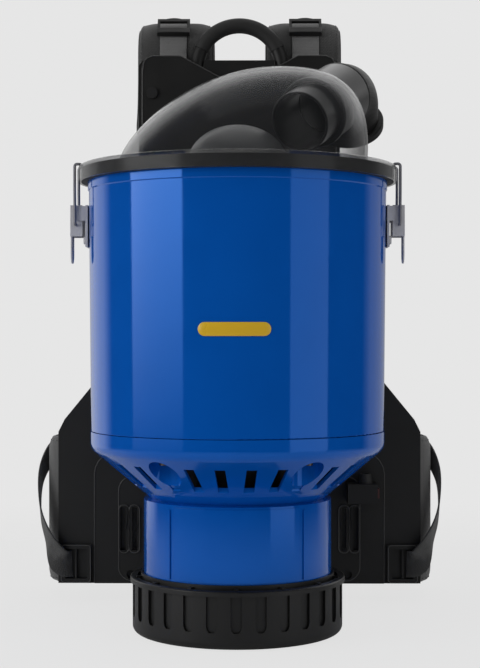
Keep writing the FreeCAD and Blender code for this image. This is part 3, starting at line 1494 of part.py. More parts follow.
def faults():
    """Names of objects that failed, and of sub-parts whose shape is empty or not valid."""
    found = [item.Label for item in doc.Objects if "Invalid" in item.State or "Error" in item.State]
    for part in parts:
        if part.Shape.isNull() or not part.Shape.isValid() or not part.Shape.Solids:
            found.append(part.Label)
    return found


build()
doc.recompute()
problems = faults()
if problems:
    raise SystemExit("failed: " + ", ".join(problems))
for part in parts:
    part.Shape.exportStep(f"parts/{part.Label}.step")
    box = part.Shape.BoundBox
    print(f"{part.Label:22s} solids {len(part.Shape.Solids)}  volume {part.Shape.Volume / 1000:8.2f} cm3  "
          f"x {box.XMin:7.1f} {box.XMax:7.1f}  y {box.YMin:7.1f} {box.YMax:7.1f}  z {box.ZMin:7.1f} {box.ZMax:7.1f}")
print(len(parts), "nodes")
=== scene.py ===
# %% [markdown]
# # A backpack vacuum cleaner
# The machine is a glossy blue canister over a blue motor housing, in a fluted black base ring,
# under a clear domed lid with a swivelling hose elbow. It hangs on a black harness.
# Its shapes come from CAD as a fixed frame. This lesson adds the light, the finishes, and the
# soft and small pieces that are easier to model here than in CAD.

# %% Load the fixed frame
import json
import math

import bmesh
import bpy
from mathutils import Matrix, Vector


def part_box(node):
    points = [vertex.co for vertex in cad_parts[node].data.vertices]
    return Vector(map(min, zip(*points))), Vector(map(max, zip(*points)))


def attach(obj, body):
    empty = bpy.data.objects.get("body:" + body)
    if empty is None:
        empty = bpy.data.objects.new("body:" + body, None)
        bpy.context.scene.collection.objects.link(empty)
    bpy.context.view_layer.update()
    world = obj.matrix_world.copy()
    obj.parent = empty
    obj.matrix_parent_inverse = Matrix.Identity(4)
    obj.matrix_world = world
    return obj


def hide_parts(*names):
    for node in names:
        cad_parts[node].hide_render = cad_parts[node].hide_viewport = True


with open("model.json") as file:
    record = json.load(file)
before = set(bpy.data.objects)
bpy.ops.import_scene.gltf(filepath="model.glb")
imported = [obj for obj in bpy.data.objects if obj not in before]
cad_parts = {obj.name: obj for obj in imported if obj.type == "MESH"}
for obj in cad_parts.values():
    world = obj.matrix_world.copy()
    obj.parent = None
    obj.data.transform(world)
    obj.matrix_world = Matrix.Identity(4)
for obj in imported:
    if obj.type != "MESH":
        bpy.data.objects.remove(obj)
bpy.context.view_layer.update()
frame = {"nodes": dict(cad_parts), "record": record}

MM = 0.001  # the frame is in metres, and most sizes below are said in millimetres
SIDES = ((-1, "left"), (1, "right"))

# %% [markdown]
# ## Camera
# The photograph was taken level with the middle of the canister, from about 1.3 m, with a short
# telephoto lens. The rim of the lid is seen from below and the base ring from above, which fixes
# the height. A camera could be placed by eye, but here it stands where those sizes put it.

# %% Place the camera
camera_data = bpy.data.cameras.new("photo_camera")
camera_data.lens = 81.0
camera_data.sensor_width = 36.0
camera = bpy.data.objects.new("photo_camera", camera_data)
camera.location = (0.015, -1.303, 0.256)
camera.rotation_euler = (math.radians(90), 0, math.radians(0.565))
bpy.context.scene.collection.objects.link(camera)
bpy.context.scene.camera = camera
bpy.context.scene.view_settings.view_transform = "Standard"
print("camera at", [round(v, 3) for v in camera.location])

# %% [markdown]
# ## Small tools for finishes
# Colours are picked as the eye sees them on a screen, while a shader counts light, so one function
# turns a screen colour into a linear one. The next adds a shader node with its settings and links.
# The last three are the steps that nearly every finish takes: stretch a value from one range to
# another, mix two colours, and plug the results into the finish's own shader.

# %% Colour and node tools
def linear(hex_colour):
    """A screen colour such as 0549A0 as the linear colour that a shader wants."""
    screen = [int(hex_colour[i:i + 2], 16) / 255 for i in (0, 2, 4)]
    return (*[c / 12.92 if c <= 0.04045 else ((c + 0.055) / 1.055) ** 2.4 for c in screen], 1.0)


def put(tree, kind, inputs=None, **settings):
    """Adds a shader node, sets its options, then fills or links its inputs."""
    made = tree.nodes.new("ShaderNode" + kind)
    for option, value in settings.items():
        setattr(made, option, value)
    for name, value in (inputs or {}).items():
        if isinstance(value, bpy.types.NodeSocket):
            tree.links.new(value, made.inputs[name])
        else:
            made.inputs[name].default_value = value
    return made


def ramp(tree, value, start, end, to_start=0.0, to_end=1.0):
    """Stretches the range from start to end over the range from to_start to to_end."""
    return put(tree, "MapRange", {"Value": value, "From Min": start, "From Max": end,
                                  "To Min": to_start, "To Max": to_end}).outputs[0]


def blend(tree, share, first, second):
    """Mixes two colours, each a value or a link, by a share from 0 to 1."""
    return put(tree, "Mix", {"Factor": share, "A": first, "B": second},
               data_type="RGBA").outputs[2]


def feed(tree, shader, **sockets):
    """Plugs sockets into the shader's inputs of the same names."""
    for name, socket in sockets.items():
        tree.links.new(socket, shader.inputs[name.replace("_", " ")])


print("blue reads as", [round(c, 3) for c in linear("0549A0")])

# %% [markdown]
# ## Studio
# The canister shows two tall soft boxes as pale stripes, one each side, and a dark room in front.
# The backdrop is an even pale grey, and the camera sees it everywhere, also through clear plastic.
# Matt surfaces get half of it as even light. Reflections see a room: pale behind the machine,
# brighter high up and on the left, and dark in front. Three ramps over the direction in which a
# reflected ray looks give it.

# %% World and floor
backdrop = linear("E6E6E6")
world = bpy.data.worlds.new("studio")
world.use_nodes = True
bpy.context.scene.world = world
tree = world.node_tree
tree.nodes.clear()
path = put(tree, "LightPath")
way = put(tree, "SeparateXYZ", {0: put(tree, "TexCoord").outputs["Generated"]})
behind = ramp(tree, way.outputs["Y"], 0.38, 0.56, 0.03, 1.0)
side = ramp(tree, way.outputs["X"], -0.6, -0.1, 1.2, 0.5)
above = ramp(tree, way.outputs["Z"], 0.12, 0.3, 0.0, 2.0)
wall = put(tree, "Math", {0: side, 1: above}, operation="MAXIMUM")
room = put(tree, "Math", {0: behind, 1: wall.outputs[0]}, operation="MULTIPLY")
pale = put(tree, "Mix", {"Factor": path.outputs["Is Glossy Ray"], "A": 1.0,
                         "B": room.outputs[0]}, data_type="FLOAT")
seen = put(tree, "Math", {0: path.outputs["Is Camera Ray"], 1: path.outputs["Is Transmission Ray"]},
           operation="MAXIMUM")
direct = put(tree, "Math", {0: seen.outputs[0], 1: path.outputs["Is Glossy Ray"]},
             operation="MAXIMUM")
level = put(tree, "Mix", {"Factor": direct.outputs[0], "A": 0.5, "B": pale.outputs[0]},
            data_type="FLOAT")
sky = put(tree, "Background", {"Color": backdrop, "Strength": level.outputs[0]})
put(tree, "OutputWorld", {"Surface": sky.outputs[0]})

floor_mesh = bmesh.new()
bmesh.ops.create_circle(floor_mesh, cap_ends=True, radius=3.0, segments=64)
floor_data = bpy.data.meshes.new("floor")
floor_mesh.to_mesh(floor_data)
floor_mesh.free()
floor = bpy.data.objects.new("floor", floor_data)
floor.location.z = -0.0005
bpy.context.scene.collection.objects.link(floor)
paper = bpy.data.materials.new("studio_paper")
paper.use_nodes = True
tree = paper.node_tree
tree.nodes.clear()
where = put(tree, "TexCoord").outputs["Object"]
reach = put(tree, "VectorMath", {0: where}, operation="LENGTH")
fade = put(tree, "MapRange", {"Value": reach.outputs["Value"], "From Min": 0.45, "From Max": 1.1},
           interpolation_type="SMOOTHSTEP")
sheet = put(tree, "BsdfDiffuse", {"Color": linear("EBEBEB")})
glow = put(tree, "Emission", {"Color": backdrop})
seen = put(tree, "Math", {0: put(tree, "LightPath").outputs["Is Camera Ray"], 1: 0.9},
           operation="MULTIPLY")
lit = put(tree, "MixShader", {0: seen.outputs[0], 1: sheet.outputs[0], 2: glow.outputs[0]})
clear_air = put(tree, "BsdfTransparent")
shown = put(tree, "MixShader", {0: fade.outputs[0], 1: lit.outputs[0], 2: clear_air.outputs[0]})
put(tree, "OutputMaterial", {"Surface": shown.outputs[0]})
floor_data.materials.append(paper)
print("floor and backdrop ready")

# %% [markdown]
# A soft box is a plain area lamp, and its size is what makes the stripe wide. Each stands at
# about 60 degrees to the side of the camera, where the curved wall of the canister mirrors it.
# The left stripe fades towards its foot, so that lamp grows weaker down its own height.
# A third one overhead lights the flange, the harness rolls and the handle from above.

# %% Lamps
def soft_box(name, place, aim, wide, tall, watts):
    """An area lamp that faces a point."""
    data = bpy.data.lights.new(name, "AREA")
    data.shape, data.size, data.size_y, data.energy = "RECTANGLE", wide, tall, watts
    lamp = bpy.data.objects.new(name, data)
    lamp.location = place
    lamp.rotation_euler = (Vector(aim) - Vector(place)).to_track_quat("-Z", "Y").to_euler()
    bpy.context.scene.collection.objects.link(lamp)
    return lamp


left = soft_box("soft_box_left", (-1.411, -0.76, 0.35), (0, 0, 0.35), 1.3, 1.5, 15.2)
soft_box("soft_box_right", (1.311, -0.92, 0.9), (0, 0, 0.9), 0.9, 2.5, 7.4)
soft_box("soft_box_top", (0, 0.1, 2.2), (0, 0, 0), 1.8, 1.4, 8)
left.data.use_nodes = True
tree = left.data.node_tree
across = put(tree, "SeparateXYZ", {0: put(tree, "NewGeometry").outputs["Parametric"]})
glow = next(node for node in tree.nodes if node.type == "EMISSION")
feed(tree, glow, Strength=ramp(tree, across.outputs["Y"], 0.265, 0.645, 0.02, 1.6))

# %% [markdown]
# ## Moulded plastics
# Nearly all that is seen is injection-moulded. The blue is ABS from a polished tool: a mirror-like
# skin with the faint waviness of orange peel. The blacks are polypropylene from a spark-eroded
# tool: a fine even grain that scatters the light. One function makes both, because they differ
# only in colour, gloss and the size of the grain. Handling leaves finer, duller patches.

# %% Plastics
def principled(name, colour, roughness, **fixed):
    """A material with one Principled shader, whose even values sit on its own sockets."""
    made = bpy.data.materials.new(name)
    made.use_nodes = True
    made.node_tree.nodes.clear()
    values = {"Base Color": linear(colour), "Roughness": roughness}
    values.update({key.replace("_", " "): value for key, value in fixed.items()})
    shader = put(made.node_tree, "BsdfPrincipled", values)
    put(made.node_tree, "OutputMaterial", {"Surface": shader.outputs[0]})
    return made, made.node_tree, shader


def moulded(name, colour, shade, roughness, grain_mm, grain_depth_mm, patch_mm=35.0, **fixed):
    """Moulded plastic: a grain for the skin, and broad soft patches of handling."""
    made, tree, shader = principled(name, colour, roughness, **fixed)
    spot = put(tree, "TexCoord").outputs["Object"]
    patch = put(tree, "TexNoise", {"Vector": spot, "Scale": 1 / (patch_mm * MM), "Detail": 4.0})
    grain = put(tree, "TexNoise", {"Vector": spot, "Scale": 1 / (grain_mm * MM), "Detail": 2.0})
    tint = blend(tree, patch.outputs["Fac"], linear(colour), linear(shade))
    dull = ramp(tree, patch.outputs["Fac"], 0.3, 0.7, roughness * 0.85, roughness * 1.15)
    bump = put(tree, "Bump", {"Height": grain.outputs["Fac"], "Distance": grain_depth_mm * MM,
                              "Strength": 1.0})
    feed(tree, shader, Base_Color=tint, Roughness=dull, Normal=bump.outputs[0])
    return made


finishes = {
    # polished ABS: deep blue, mirror gloss with slight orange peel
    "blue_gloss": moulded("blue_abs_polished", "044CA2", "0552AC", 0.07, 9.0, 0.012, IOR=1.53,
                          Specular_IOR_Level=1.0, Specular_Tint=linear("6BA4FF")),
    # glass-filled polypropylene: near black, spark-eroded grain
    "black_ring": moulded("black_polypropylene_ring", "101010", "151515", 0.46, 0.9, 0.035,
                          IOR=1.49, Specular_IOR_Level=0.4),
    "black_plastic": moulded("black_polypropylene_plate", "121212", "171717", 0.52, 0.8, 0.03,
                             IOR=1.49, Specular_IOR_Level=0.4),
    "grey_tube": moulded("smoked_polypropylene_tube", "111112", "19191A", 0.34, 2.0, 0.02, IOR=1.49,
                         Specular_IOR_Level=0.35),
    "pale_cap": moulded("pale_grey_polypropylene", "454647", "4D4E4F", 0.42, 1.2, 0.03, IOR=1.49),
    "red_rocker": moulded("dark_red_nylon_rocker", "3A0E10", "441214", 0.32, 1.0, 0.015, IOR=1.53),
    # moulded nitrile rubber: dull, with a bloom
    "rubber": moulded("black_nitrile_rubber", "161616", "202020", 0.66, 0.6, 0.03, 12.0, IOR=1.52),
    # brush holders' carbon: compressed graphite powder
    "carbon": moulded("compressed_graphite", "2A2A2C", "3A3A3D", 0.45, 0.7, 0.04, 5.0),
}
print("plastics", len(finishes))

# %% [markdown]
# The elbow's grip has a fine diamond hatch rolled into it, so that a gloved hand can turn it. The
# real hatch is about 1 mm across. Two wave patterns at right angles give it.

# %% Hatched elbow plastic
HATCH_SCALE = 1 / (1.4 * MM) / 3.1  # puts the bands about 1.4 mm apart
made, tree, shader = principled("black_nylon_hatched", "0C0C0C", 0.5, IOR=1.53,
                                Specular_IOR_Level=0.2)
spot = put(tree, "TexCoord").outputs["Object"]
heights = []
for turn in (45, -45):
    turned = put(tree, "Mapping", {"Vector": spot, "Rotation": (math.radians(20),
                                                               math.radians(turn), 0)})
    heights.append(put(tree, "TexWave", {"Vector": turned.outputs[0], "Scale": HATCH_SCALE},
                       bands_direction="X"))
hatch = put(tree, "Math", {0: heights[0].outputs["Fac"], 1: heights[1].outputs["Fac"]},
            operation="MULTIPLY")
bump = put(tree, "Bump", {"Height": hatch.outputs[0], "Distance": 0.12 * MM, "Strength": 0.8})
tint = blend(tree, hatch.outputs[0], linear("121212"), linear("1C1C1C"))
feed(tree, shader, Base_Color=tint, Normal=bump.outputs[0])
finishes["black_elbow"] = made
print("elbow hatch 1.4 mm")

# %% [markdown]
# ## Clear lid
# The lid is a thin shell of polycarbonate with a light smoke tint. Real glass shaders bend what is
# behind them and block lamp light, but a thin even wall does neither. So the lid is a glossy grey
# plastic that is mostly see-through, and grows denser where it is seen edge on.

# %% Smoked polycarbonate
made, tree, shader = principled("smoked_polycarbonate", "3A3B3D", 0.19, IOR=1.45,
                                Specular_IOR_Level=0.55)
spot = put(tree, "TexCoord").outputs["Object"]
smear = put(tree, "TexNoise", {"Vector": spot, "Scale": 1 / (22 * MM), "Detail": 5.0})
haze = ramp(tree, smear.outputs["Fac"], 0.35, 0.75, 0.15, 0.23)
flow = put(tree, "TexNoise", {"Vector": spot, "Scale": 1 / (30 * MM), "Detail": 1.0})
bump = put(tree, "Bump", {"Height": flow.outputs["Fac"], "Distance": 0.08 * MM, "Strength": 0.5})
edge_on = put(tree, "LayerWeight", {"Blend": 0.35}).outputs["Facing"]
dense = ramp(tree, edge_on, 0.25, 0.95, 0.13, 0.78)
feed(tree, shader, Roughness=haze, Normal=bump.outputs[0], Alpha=dense)
finishes["clear"] = made
print("lid is clear")

# %% [markdown]
# ## Metals
# The latches are pressed mild steel with a dulled zinc plate, drawn in the press, so they have a
# fine vertical brushing and a cloudy sheen. Wire, screws and die-cast parts vary in colour and in
# how coarse the surface is. A metal keeps the default IOR, and its colour does the work. A dulled
# plate or a coat of paint mirrors less, so its share of bare metal is lower.

# %% Metals
MOTTLED = (1, 1, 1)  # no stretch, where the surface isn't drawn along one way


def metal(name, colour, shade, roughness, line_mm, depth_mm, stretch=(1, 1, 0.05), bare=1.0):
    """Metal: lines or mottling drawn by a noise that is stretched along one way."""
    made, tree, shader = principled(name, colour, roughness, Metallic=bare)
    spot = put(tree, "TexCoord").outputs["Object"]
    drawn = put(tree, "Mapping", {"Vector": spot, "Scale": stretch})
    lines = put(tree, "TexNoise", {"Vector": drawn.outputs[0], "Scale": 1 / (line_mm * MM),
                                   "Detail": 3.0})
    cloud = put(tree, "TexNoise", {"Vector": spot, "Scale": 1 / (14 * MM), "Detail": 4.0})
    tint = blend(tree, cloud.outputs["Fac"], linear(colour), linear(shade))
    dull = ramp(tree, lines.outputs["Fac"], 0.0, 1.0, roughness * 0.75, roughness * 1.3)
    bump = put(tree, "Bump", {"Height": lines.outputs["Fac"], "Distance": depth_mm * MM,
                              "Strength": 1.0})
    feed(tree, shader, Base_Color=tint, Roughness=dull, Normal=bump.outputs[0])
    return made


finishes.update({
    "steel": metal("dull_zinc_plated_steel", "C6C6CA", "B0B0B6", 0.5, 0.5, 0.01, bare=0.2),
    "wire": metal("drawn_spring_wire", "808086", "6C6C74", 0.4, 0.4, 0.008, bare=0.4),
    "zinc": metal("zinc_plated_screws", "6A625A", "564F48", 0.33, 0.5, 0.01, MOTTLED),
    "alloy": metal("die_cast_aluminium", "A2A4A6", "8E9092", 0.48, 1.1, 0.04, MOTTLED),
    "black_screws": metal("black_painted_screws", "222223", "1C1C1D", 0.5, 0.6, 0.01, MOTTLED,
                          bare=0.2),
})
print("metals", len(finishes))

# %% [markdown]
# Inside the motor, the stator is a stack of 0.5 mm steel sheets, and its coils are wound from
# enamelled copper wire. Both are bands: level ones for the sheets, and fine ones for the wire.
# They are drawn 1.2 mm apart, coarser than real, so that they still show from a hand's width.

# %% Laminations and windings
def banded(name, colour, dark, roughness, pitch_mm, direction):
    """Even bands, for stacked sheets and for wound wire."""
    made, tree, shader = principled(name, colour, roughness, Metallic=1.0)
    spot = put(tree, "TexCoord").outputs["Object"]
    wave = put(tree, "TexWave", {"Vector": spot, "Scale": 1 / (pitch_mm * MM * math.pi),
                                 "Distortion": 0.3}, bands_direction=direction)
    tint = blend(tree, wave.outputs["Fac"], linear(dark), linear(colour))
    dull = ramp(tree, wave.outputs["Fac"], 0.0, 1.0, roughness * 1.3, roughness * 0.85)
    bump = put(tree, "Bump", {"Height": wave.outputs["Fac"], "Distance": 0.15 * MM})
    feed(tree, shader, Base_Color=tint, Roughness=dull, Normal=bump.outputs[0])
    return made


finishes["laminations"] = banded("stacked_lamination_steel", "8B8E92", "4A4C50", 0.42, 1.2, "Z")
finishes["copper"] = banded("enamelled_copper_winding", "B8693A", "6E3718", 0.3, 1.2, "DIAGONAL")
print("motor finishes ready")

# %% [markdown]
# ## Cloth finishes
# The harness is sewn from black nylon cordura, a coarse plain weave, and the sides that touch
# the wearer are spacer mesh, which is full of small holes. Both patterns read an attribute that
# holds each point's place on the flat, uncut cloth, so that they bend with the pad. The real
# thread is 0.5 mm and is drawn 1.3 mm wide, or the camera would not see it at all.

# %% Padding cloth
BAND = math.pi / 10  # scale that gives a wave texture one band in each unit of length


def weave_height(tree, cloth, thread_mm):
    """A plain weave: bands along and across that take turns to lie on top."""
    scale = BAND / (thread_mm * MM)
    along = put(tree, "TexWave", {"Vector": cloth, "Scale": scale}, bands_direction="X")
    across = put(tree, "TexWave", {"Vector": cloth, "Scale": scale}, bands_direction="Y")
    turns = put(tree, "TexChecker", {"Vector": cloth, "Scale": 1 / (thread_mm * MM)})
    return put(tree, "Mix", {"Factor": turns.outputs["Fac"], "A": along.outputs["Fac"],
                             "B": across.outputs["Fac"]}, data_type="FLOAT").outputs[0]


def padding_cloth(name, colour, shade, mesh_side):
    """Cordura outside and spacer mesh inside, told apart by the cloth's third axis."""
    made, tree, shader = principled(name, colour, 0.88, IOR=1.5, Sheen_Weight=0.25,
                                    Sheen_Roughness=0.5)
    cloth = put(tree, "Attribute", attribute_name="cloth").outputs["Vector"]
    weave = weave_height(tree, cloth, 1.3)
    holes = put(tree, "TexVoronoi", {"Vector": cloth, "Scale": 1 / (3.4 * MM), "Randomness": 0.15})
    hole = ramp(tree, holes.outputs["Distance"], 0.16, 0.34)
    depth = put(tree, "SeparateXYZ", {0: cloth})
    side = ramp(tree, depth.outputs["Z"], 0.5 * MM * mesh_side, 1.5 * MM * mesh_side)
    wear = put(tree, "TexNoise", {"Vector": cloth, "Scale": 1 / (45 * MM), "Detail": 5.0})
    outer = blend(tree, weave, linear(shade), linear(colour))
    inner = blend(tree, hole, linear("0A0A0A"), linear(colour))
    rubbed = ramp(tree, wear.outputs["Fac"], 0.45, 0.8, 0.0, 0.25)
    tint = blend(tree, rubbed, blend(tree, side, outer, inner), linear("4A4A4A"))
    height = put(tree, "Mix", {"Factor": side, "A": weave, "B": hole}, data_type="FLOAT")
    bump = put(tree, "Bump", {"Height": height.outputs[0], "Distance": 0.35 * MM, "Strength": 0.7})
    feed(tree, shader, Base_Color=tint, Normal=bump.outputs[0])
    return made


strap_cordura = padding_cloth("nylon_cordura_and_spacer_mesh", "3A3A3A", "232323", -1)
# The hip pads get a paler copy of the same cordura: painted light, since they lie in shade.
hip_cordura_painted_paler = padding_cloth("hip_cordura_and_spacer_mesh", "666666", "444444", -1)
back_cordura = padding_cloth("back_cordura_and_spacer_mesh", "303030", "1E1E1E", 1)
print("padding cloth ready")

# %% [markdown]
# Webbing is a narrow heavy weave with ribs along it. Its pattern lies on the strap's own UV map,
# which counts real millimetres across and along. Binding tape and sewing thread are plainer.

# %% Webbing, binding and thread
RIB_MM = 1.5  # from one rib of the webbing to the next


def webbing(name, colour, shade):
    """Ribbed webbing: rows of short floats, each row half a float out of step with the next."""
    made, tree, shader = principled(name, colour, 0.72, IOR=1.52, Sheen_Weight=0.2,
                                    Sheen_Roughness=0.4)
    cloth = put(tree, "UVMap").outputs["UV"]
    floats = put(tree, "TexBrick", {"Vector": cloth, "Scale": 1.0, "Mortar Size": 0.22,
                                    "Mortar Smooth": 1.0, "Brick Width": RIB_MM * 1.6,
                                    "Row Height": RIB_MM})
    worn = put(tree, "TexNoise", {"Vector": cloth, "Scale": 0.06, "Detail": 4.0})
    weave = blend(tree, floats.outputs["Fac"], linear(colour), linear(shade))
    fuzz = ramp(tree, worn.outputs["Fac"], 0.4, 0.8, 0.0, 0.3)
    tint = blend(tree, fuzz, weave, linear("7A7A7A"))
    bump = put(tree, "Bump", {"Height": floats.outputs["Fac"], "Distance": 0.3 * MM,
                              "Strength": 0.8}, invert=True)
    feed(tree, shader, Base_Color=tint, Normal=bump.outputs[0])
    return made


black_webbing = webbing("black_polyester_webbing", "2C2C2C", "181818")
grey_webbing = webbing("grey_polyester_webbing", "686868", "474747")
binding = moulded("black_binding_tape", "1C1C1C", "2A2A2A", 0.8, 0.9, 0.15, 6.0, Sheen_Weight=0.3)
thread = moulded("black_bonded_thread", "3C3C3C", "4A4A4A", 0.6, 0.5, 0.05, 5.0)
print("webbing and thread ready")

# %% [markdown]
# ## Tools for sewn pieces
# A pad is easiest to make flat, the way it is cut: an outline, given some thickness. It is remeshed
# into even squares and blown up a little as cloth, so that its faces crown and its sides pull in.
# Only then is it bent to its place. The cloth solver runs once for each shape, within a few
# seconds, and a cap on how far a point may move keeps the pad near the space that CAD gives it.

# %% Cut, swell and seam a pad
def new_piece(name, body, finish, mesh=None, work=None):
    """An object for the harness or machine, from a bmesh or a mesh."""
    data = mesh or bpy.data.meshes.new(name)
    if work:
        work.to_mesh(data)
        work.free()
    made = bpy.data.objects.new(name, data)
    bpy.context.scene.collection.objects.link(made)
    data.materials.clear()
    data.materials.append(finish)
    for face in data.polygons:
        face.use_smooth = True
    if body:
        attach(made, body)
    return made


def baked(item):
    """A new mesh of the object as its modifiers leave it."""
    ready = item.evaluated_get(bpy.context.evaluated_depsgraph_get())
    return bpy.data.meshes.new_from_object(ready)


def cut_pad(box, thick, corner):
    """A flat slab of foam: left, foot, right and top in millimetres, with rounded corners."""
    left, foot, right, top = box
    work = bmesh.new()
    slab = work.faces.new([work.verts.new((x * MM, y * MM, -thick / 2 * MM)) for x, y in
                           ((left, foot), (right, foot), (right, top), (left, top))])
    up = bmesh.ops.extrude_face_region(work, geom=[slab])["geom"]
    bmesh.ops.translate(work, vec=(0, 0, thick * MM),
                        verts=[v for v in up if isinstance(v, bmesh.types.BMVert)])
    posts = [e for e in work.edges if abs(e.verts[0].co.z - e.verts[1].co.z) > thick / 2 * MM]
    bmesh.ops.bevel(work, geom=posts, offset=corner * MM, offset_type="OFFSET", segments=5,
                    profile=0.5, affect="EDGES", material=-1)
    bmesh.ops.recalc_face_normals(work, faces=work.faces)
    return work


def swell(item, voxel, pressure, cap):
    """Even squares, then a little air, with a cap in millimetres on how far a point moves."""
    squares = item.modifiers.new("squares", "REMESH")
    squares.mode, squares.voxel_size = "VOXEL", voxel * MM
    mesh = baked(item)
    item.modifiers.remove(squares)
    item.data = mesh
    flat = [v.co.copy() for v in mesh.vertices]
    cloth = item.modifiers.new("air", "CLOTH")
    cloth.settings.use_pressure = True
    cloth.settings.uniform_pressure_force = pressure
    cloth.settings.effector_weights.gravity = 0
    for moment in range(1, 21):
        bpy.context.scene.frame_set(moment)
    full = [v.co.copy() for v in baked(item).vertices]
    item.modifiers.remove(cloth)
    bpy.context.scene.frame_set(1)
    for v, a, b in zip(mesh.vertices, flat, full):
        step = b - a
        v.co = a + step * min(1.0, cap * MM / max(step.length, 1e-9))


def sew_channels(item, rows, width, depth):
    """Presses stitched channels into both faces, across the pad at each row's height."""
    for v in item.data.vertices:
        press = sum(math.exp(-((v.co.y - y * MM) / (width * MM)) ** 2) for y in rows)
        v.co.z *= 1 - min(depth, depth * press)


print("pad tools ready")

# %% [markdown]
# Bending is a plain change of place. The flat pad's length runs along a line with rounded
# corners, and its thickness stands off that line. The place on the flat cloth is kept first, as
# the attribute that the weave reads.

# %% Lines to bend along
def measured(points):
    """The points of a line as rows of length so far, place and heading."""
    rows, along = [], 0.0
    for a, b in zip(points, points[1:]):
        step = Vector((b - a)[:3]).length
        if step > 1e-6:
            rows.append((along, a, (b - a) / step))
            along += step
    return rows + [(along, points[-1], rows[-1][2])]


def bent_line(corners, radii):
    """A line in a plane through corners in millimetres, each rounded by its radius."""
    spots = [Vector(c) * MM for c in corners]
    line = [spots[0]]
    for before, at, after, radius in zip(spots, spots[1:], spots[2:], radii):
        into, out = (at - before).normalized(), (after - at).normalized()
        turn = into.angle_signed(out)
        start = at - into * radius * MM * math.tan(abs(turn) / 2)
        centre = start + Vector((into.y, -into.x)) * radius * MM * math.copysign(1, turn)
        steps = max(2, int(abs(turn) * radius / 2.5))
        for i in range(steps + 1):
            spoke = start - centre
            spoke.rotate(Matrix.Rotation(-turn * i / steps, 2))
            line.append(centre + spoke)
    return measured(line + [spots[-1]])


def on_line(line, along):
    """Place and heading at a length along the line, carried on past its ends."""
    i = next((k for k, row in enumerate(line) if row[0] > along), len(line) - 1) - 1
    start, place, heading = line[max(0, i)]
    after, beyond, turned = line[max(0, i) + 1]
    share = (along - start) / (after - start)
    return place.lerp(beyond, share), heading.lerp(turned, max(0.0, min(1.0, share)))


def keep_cloth_place(mesh):
    """Stores each point's place on the flat cloth for the weave to read."""
    kept = mesh.attributes.new("cloth", "FLOAT_VECTOR", "POINT")
    kept.data.foreach_set("vector", [c for v in mesh.vertices for c in v.co])


print("line tools ready")

# %% [markdown]
# The rim of each pad is piped: binding tape is folded over a cord and sewn into the seam, and a row
# of stitches follows it on both faces. A ring of points round the rim is dropped on the pad's own
# surface, so the pipe and the stitches lie where the swollen cloth really is.

# %% Piping and stitches
def rim_points(box, corner, step):
    """Evenly spaced points round a rectangle with rounded corners, in metres."""
    left, foot, right, top = box
    work = bmesh.new()
    work.faces.new([work.verts.new((x * MM, y * MM, 0)) for x, y in
                    ((left, foot), (right, foot), (right, top), (left, top))])
    bmesh.ops.bevel(work, geom=list(work.verts), offset=corner * MM, offset_type="OFFSET",
                    segments=6, profile=0.5, affect="VERTICES", material=-1)
    for edge in list(work.edges):
        cuts = int(edge.calc_length() / (step * MM))
        if cuts:
            bmesh.ops.subdivide_edges(work, edges=[edge], cuts=cuts)
    work.faces.ensure_lookup_table()
    points = [v.co.copy() for v in work.faces[0].verts]
    work.free()
    return points


def cord(points, radius, closed=True):
    """A round cord through the points, as a mesh."""
    line = bpy.data.curves.new("cord_line", "CURVE")
    line.dimensions, line.bevel_depth, line.bevel_resolution = "3D", radius * MM, 2
    line.use_fill_caps = True
    spline = line.splines.new("POLY")
    spline.points.add(len(points) - 1)
    for point, place in zip(spline.points, points):
        point.co = (*place, 1.0)
    spline.use_cyclic_u = closed
    holder = bpy.data.objects.new("cord_line", line)
    bpy.context.scene.collection.objects.link(holder)
    mesh = baked(holder)
    bpy.data.objects.remove(holder)
    return mesh


def piping(points, pad, radius):
    """A round cord that is sunk a little into the pad's side, as a mesh."""
    centre = sum(points, Vector()) / len(points)
    laid = []
    for i, place in enumerate(points):
        heading = (points[(i + 1) % len(points)] - points[i - 1]).normalized()
        inward = Vector((-heading.y, heading.x, 0))
        inward *= math.copysign(1, inward.dot(centre - place))
        hit, spot, _, _ = pad.ray_cast(place - inward * 0.02, inward, distance=0.03)
        laid.append(spot + inward * radius * 0.3 * MM if hit else place)
    return cord(laid, radius)


def stitches(points, pad):
    """Beads of thread along the points, laid on both faces of the pad."""
    work = bmesh.new()
    for i, place in enumerate(points):
        heading = (points[(i + 1) % len(points)] - points[i - 1]).normalized()
        for side in (1, -1):
            hit, spot, normal, _ = pad.ray_cast(Vector((place.x, place.y, side * 0.1)),
                                                Vector((0, 0, -side)))
            if hit:
                across = normal.cross(heading).normalized()
                turned = Matrix((across.cross(normal), across, normal)).transposed().to_4x4()
                bead = Matrix.Diagonal((1.3 * MM, 0.45 * MM, 0.32 * MM, 1))
                bmesh.ops.create_icosphere(work, subdivisions=1, radius=1.0,
                                           matrix=Matrix.Translation(spot) @ turned @ bead)
    mesh = bpy.data.meshes.new("stitches")
    work.to_mesh(mesh)
    work.free()
    return mesh


def bend(mesh, to_place, closed=True):
    """Moves every point of a flat mesh to its place on the object."""
    for v in mesh.vertices:
        v.co = to_place(v.co)
    if closed:
        work = bmesh.new()
        work.from_mesh(mesh)
        bmesh.ops.recalc_face_normals(work, faces=work.faces)
        work.to_mesh(mesh)
        work.free()
    mesh.update()
    return mesh


SEAM = 6  # from a pad's rim to its row of stitches


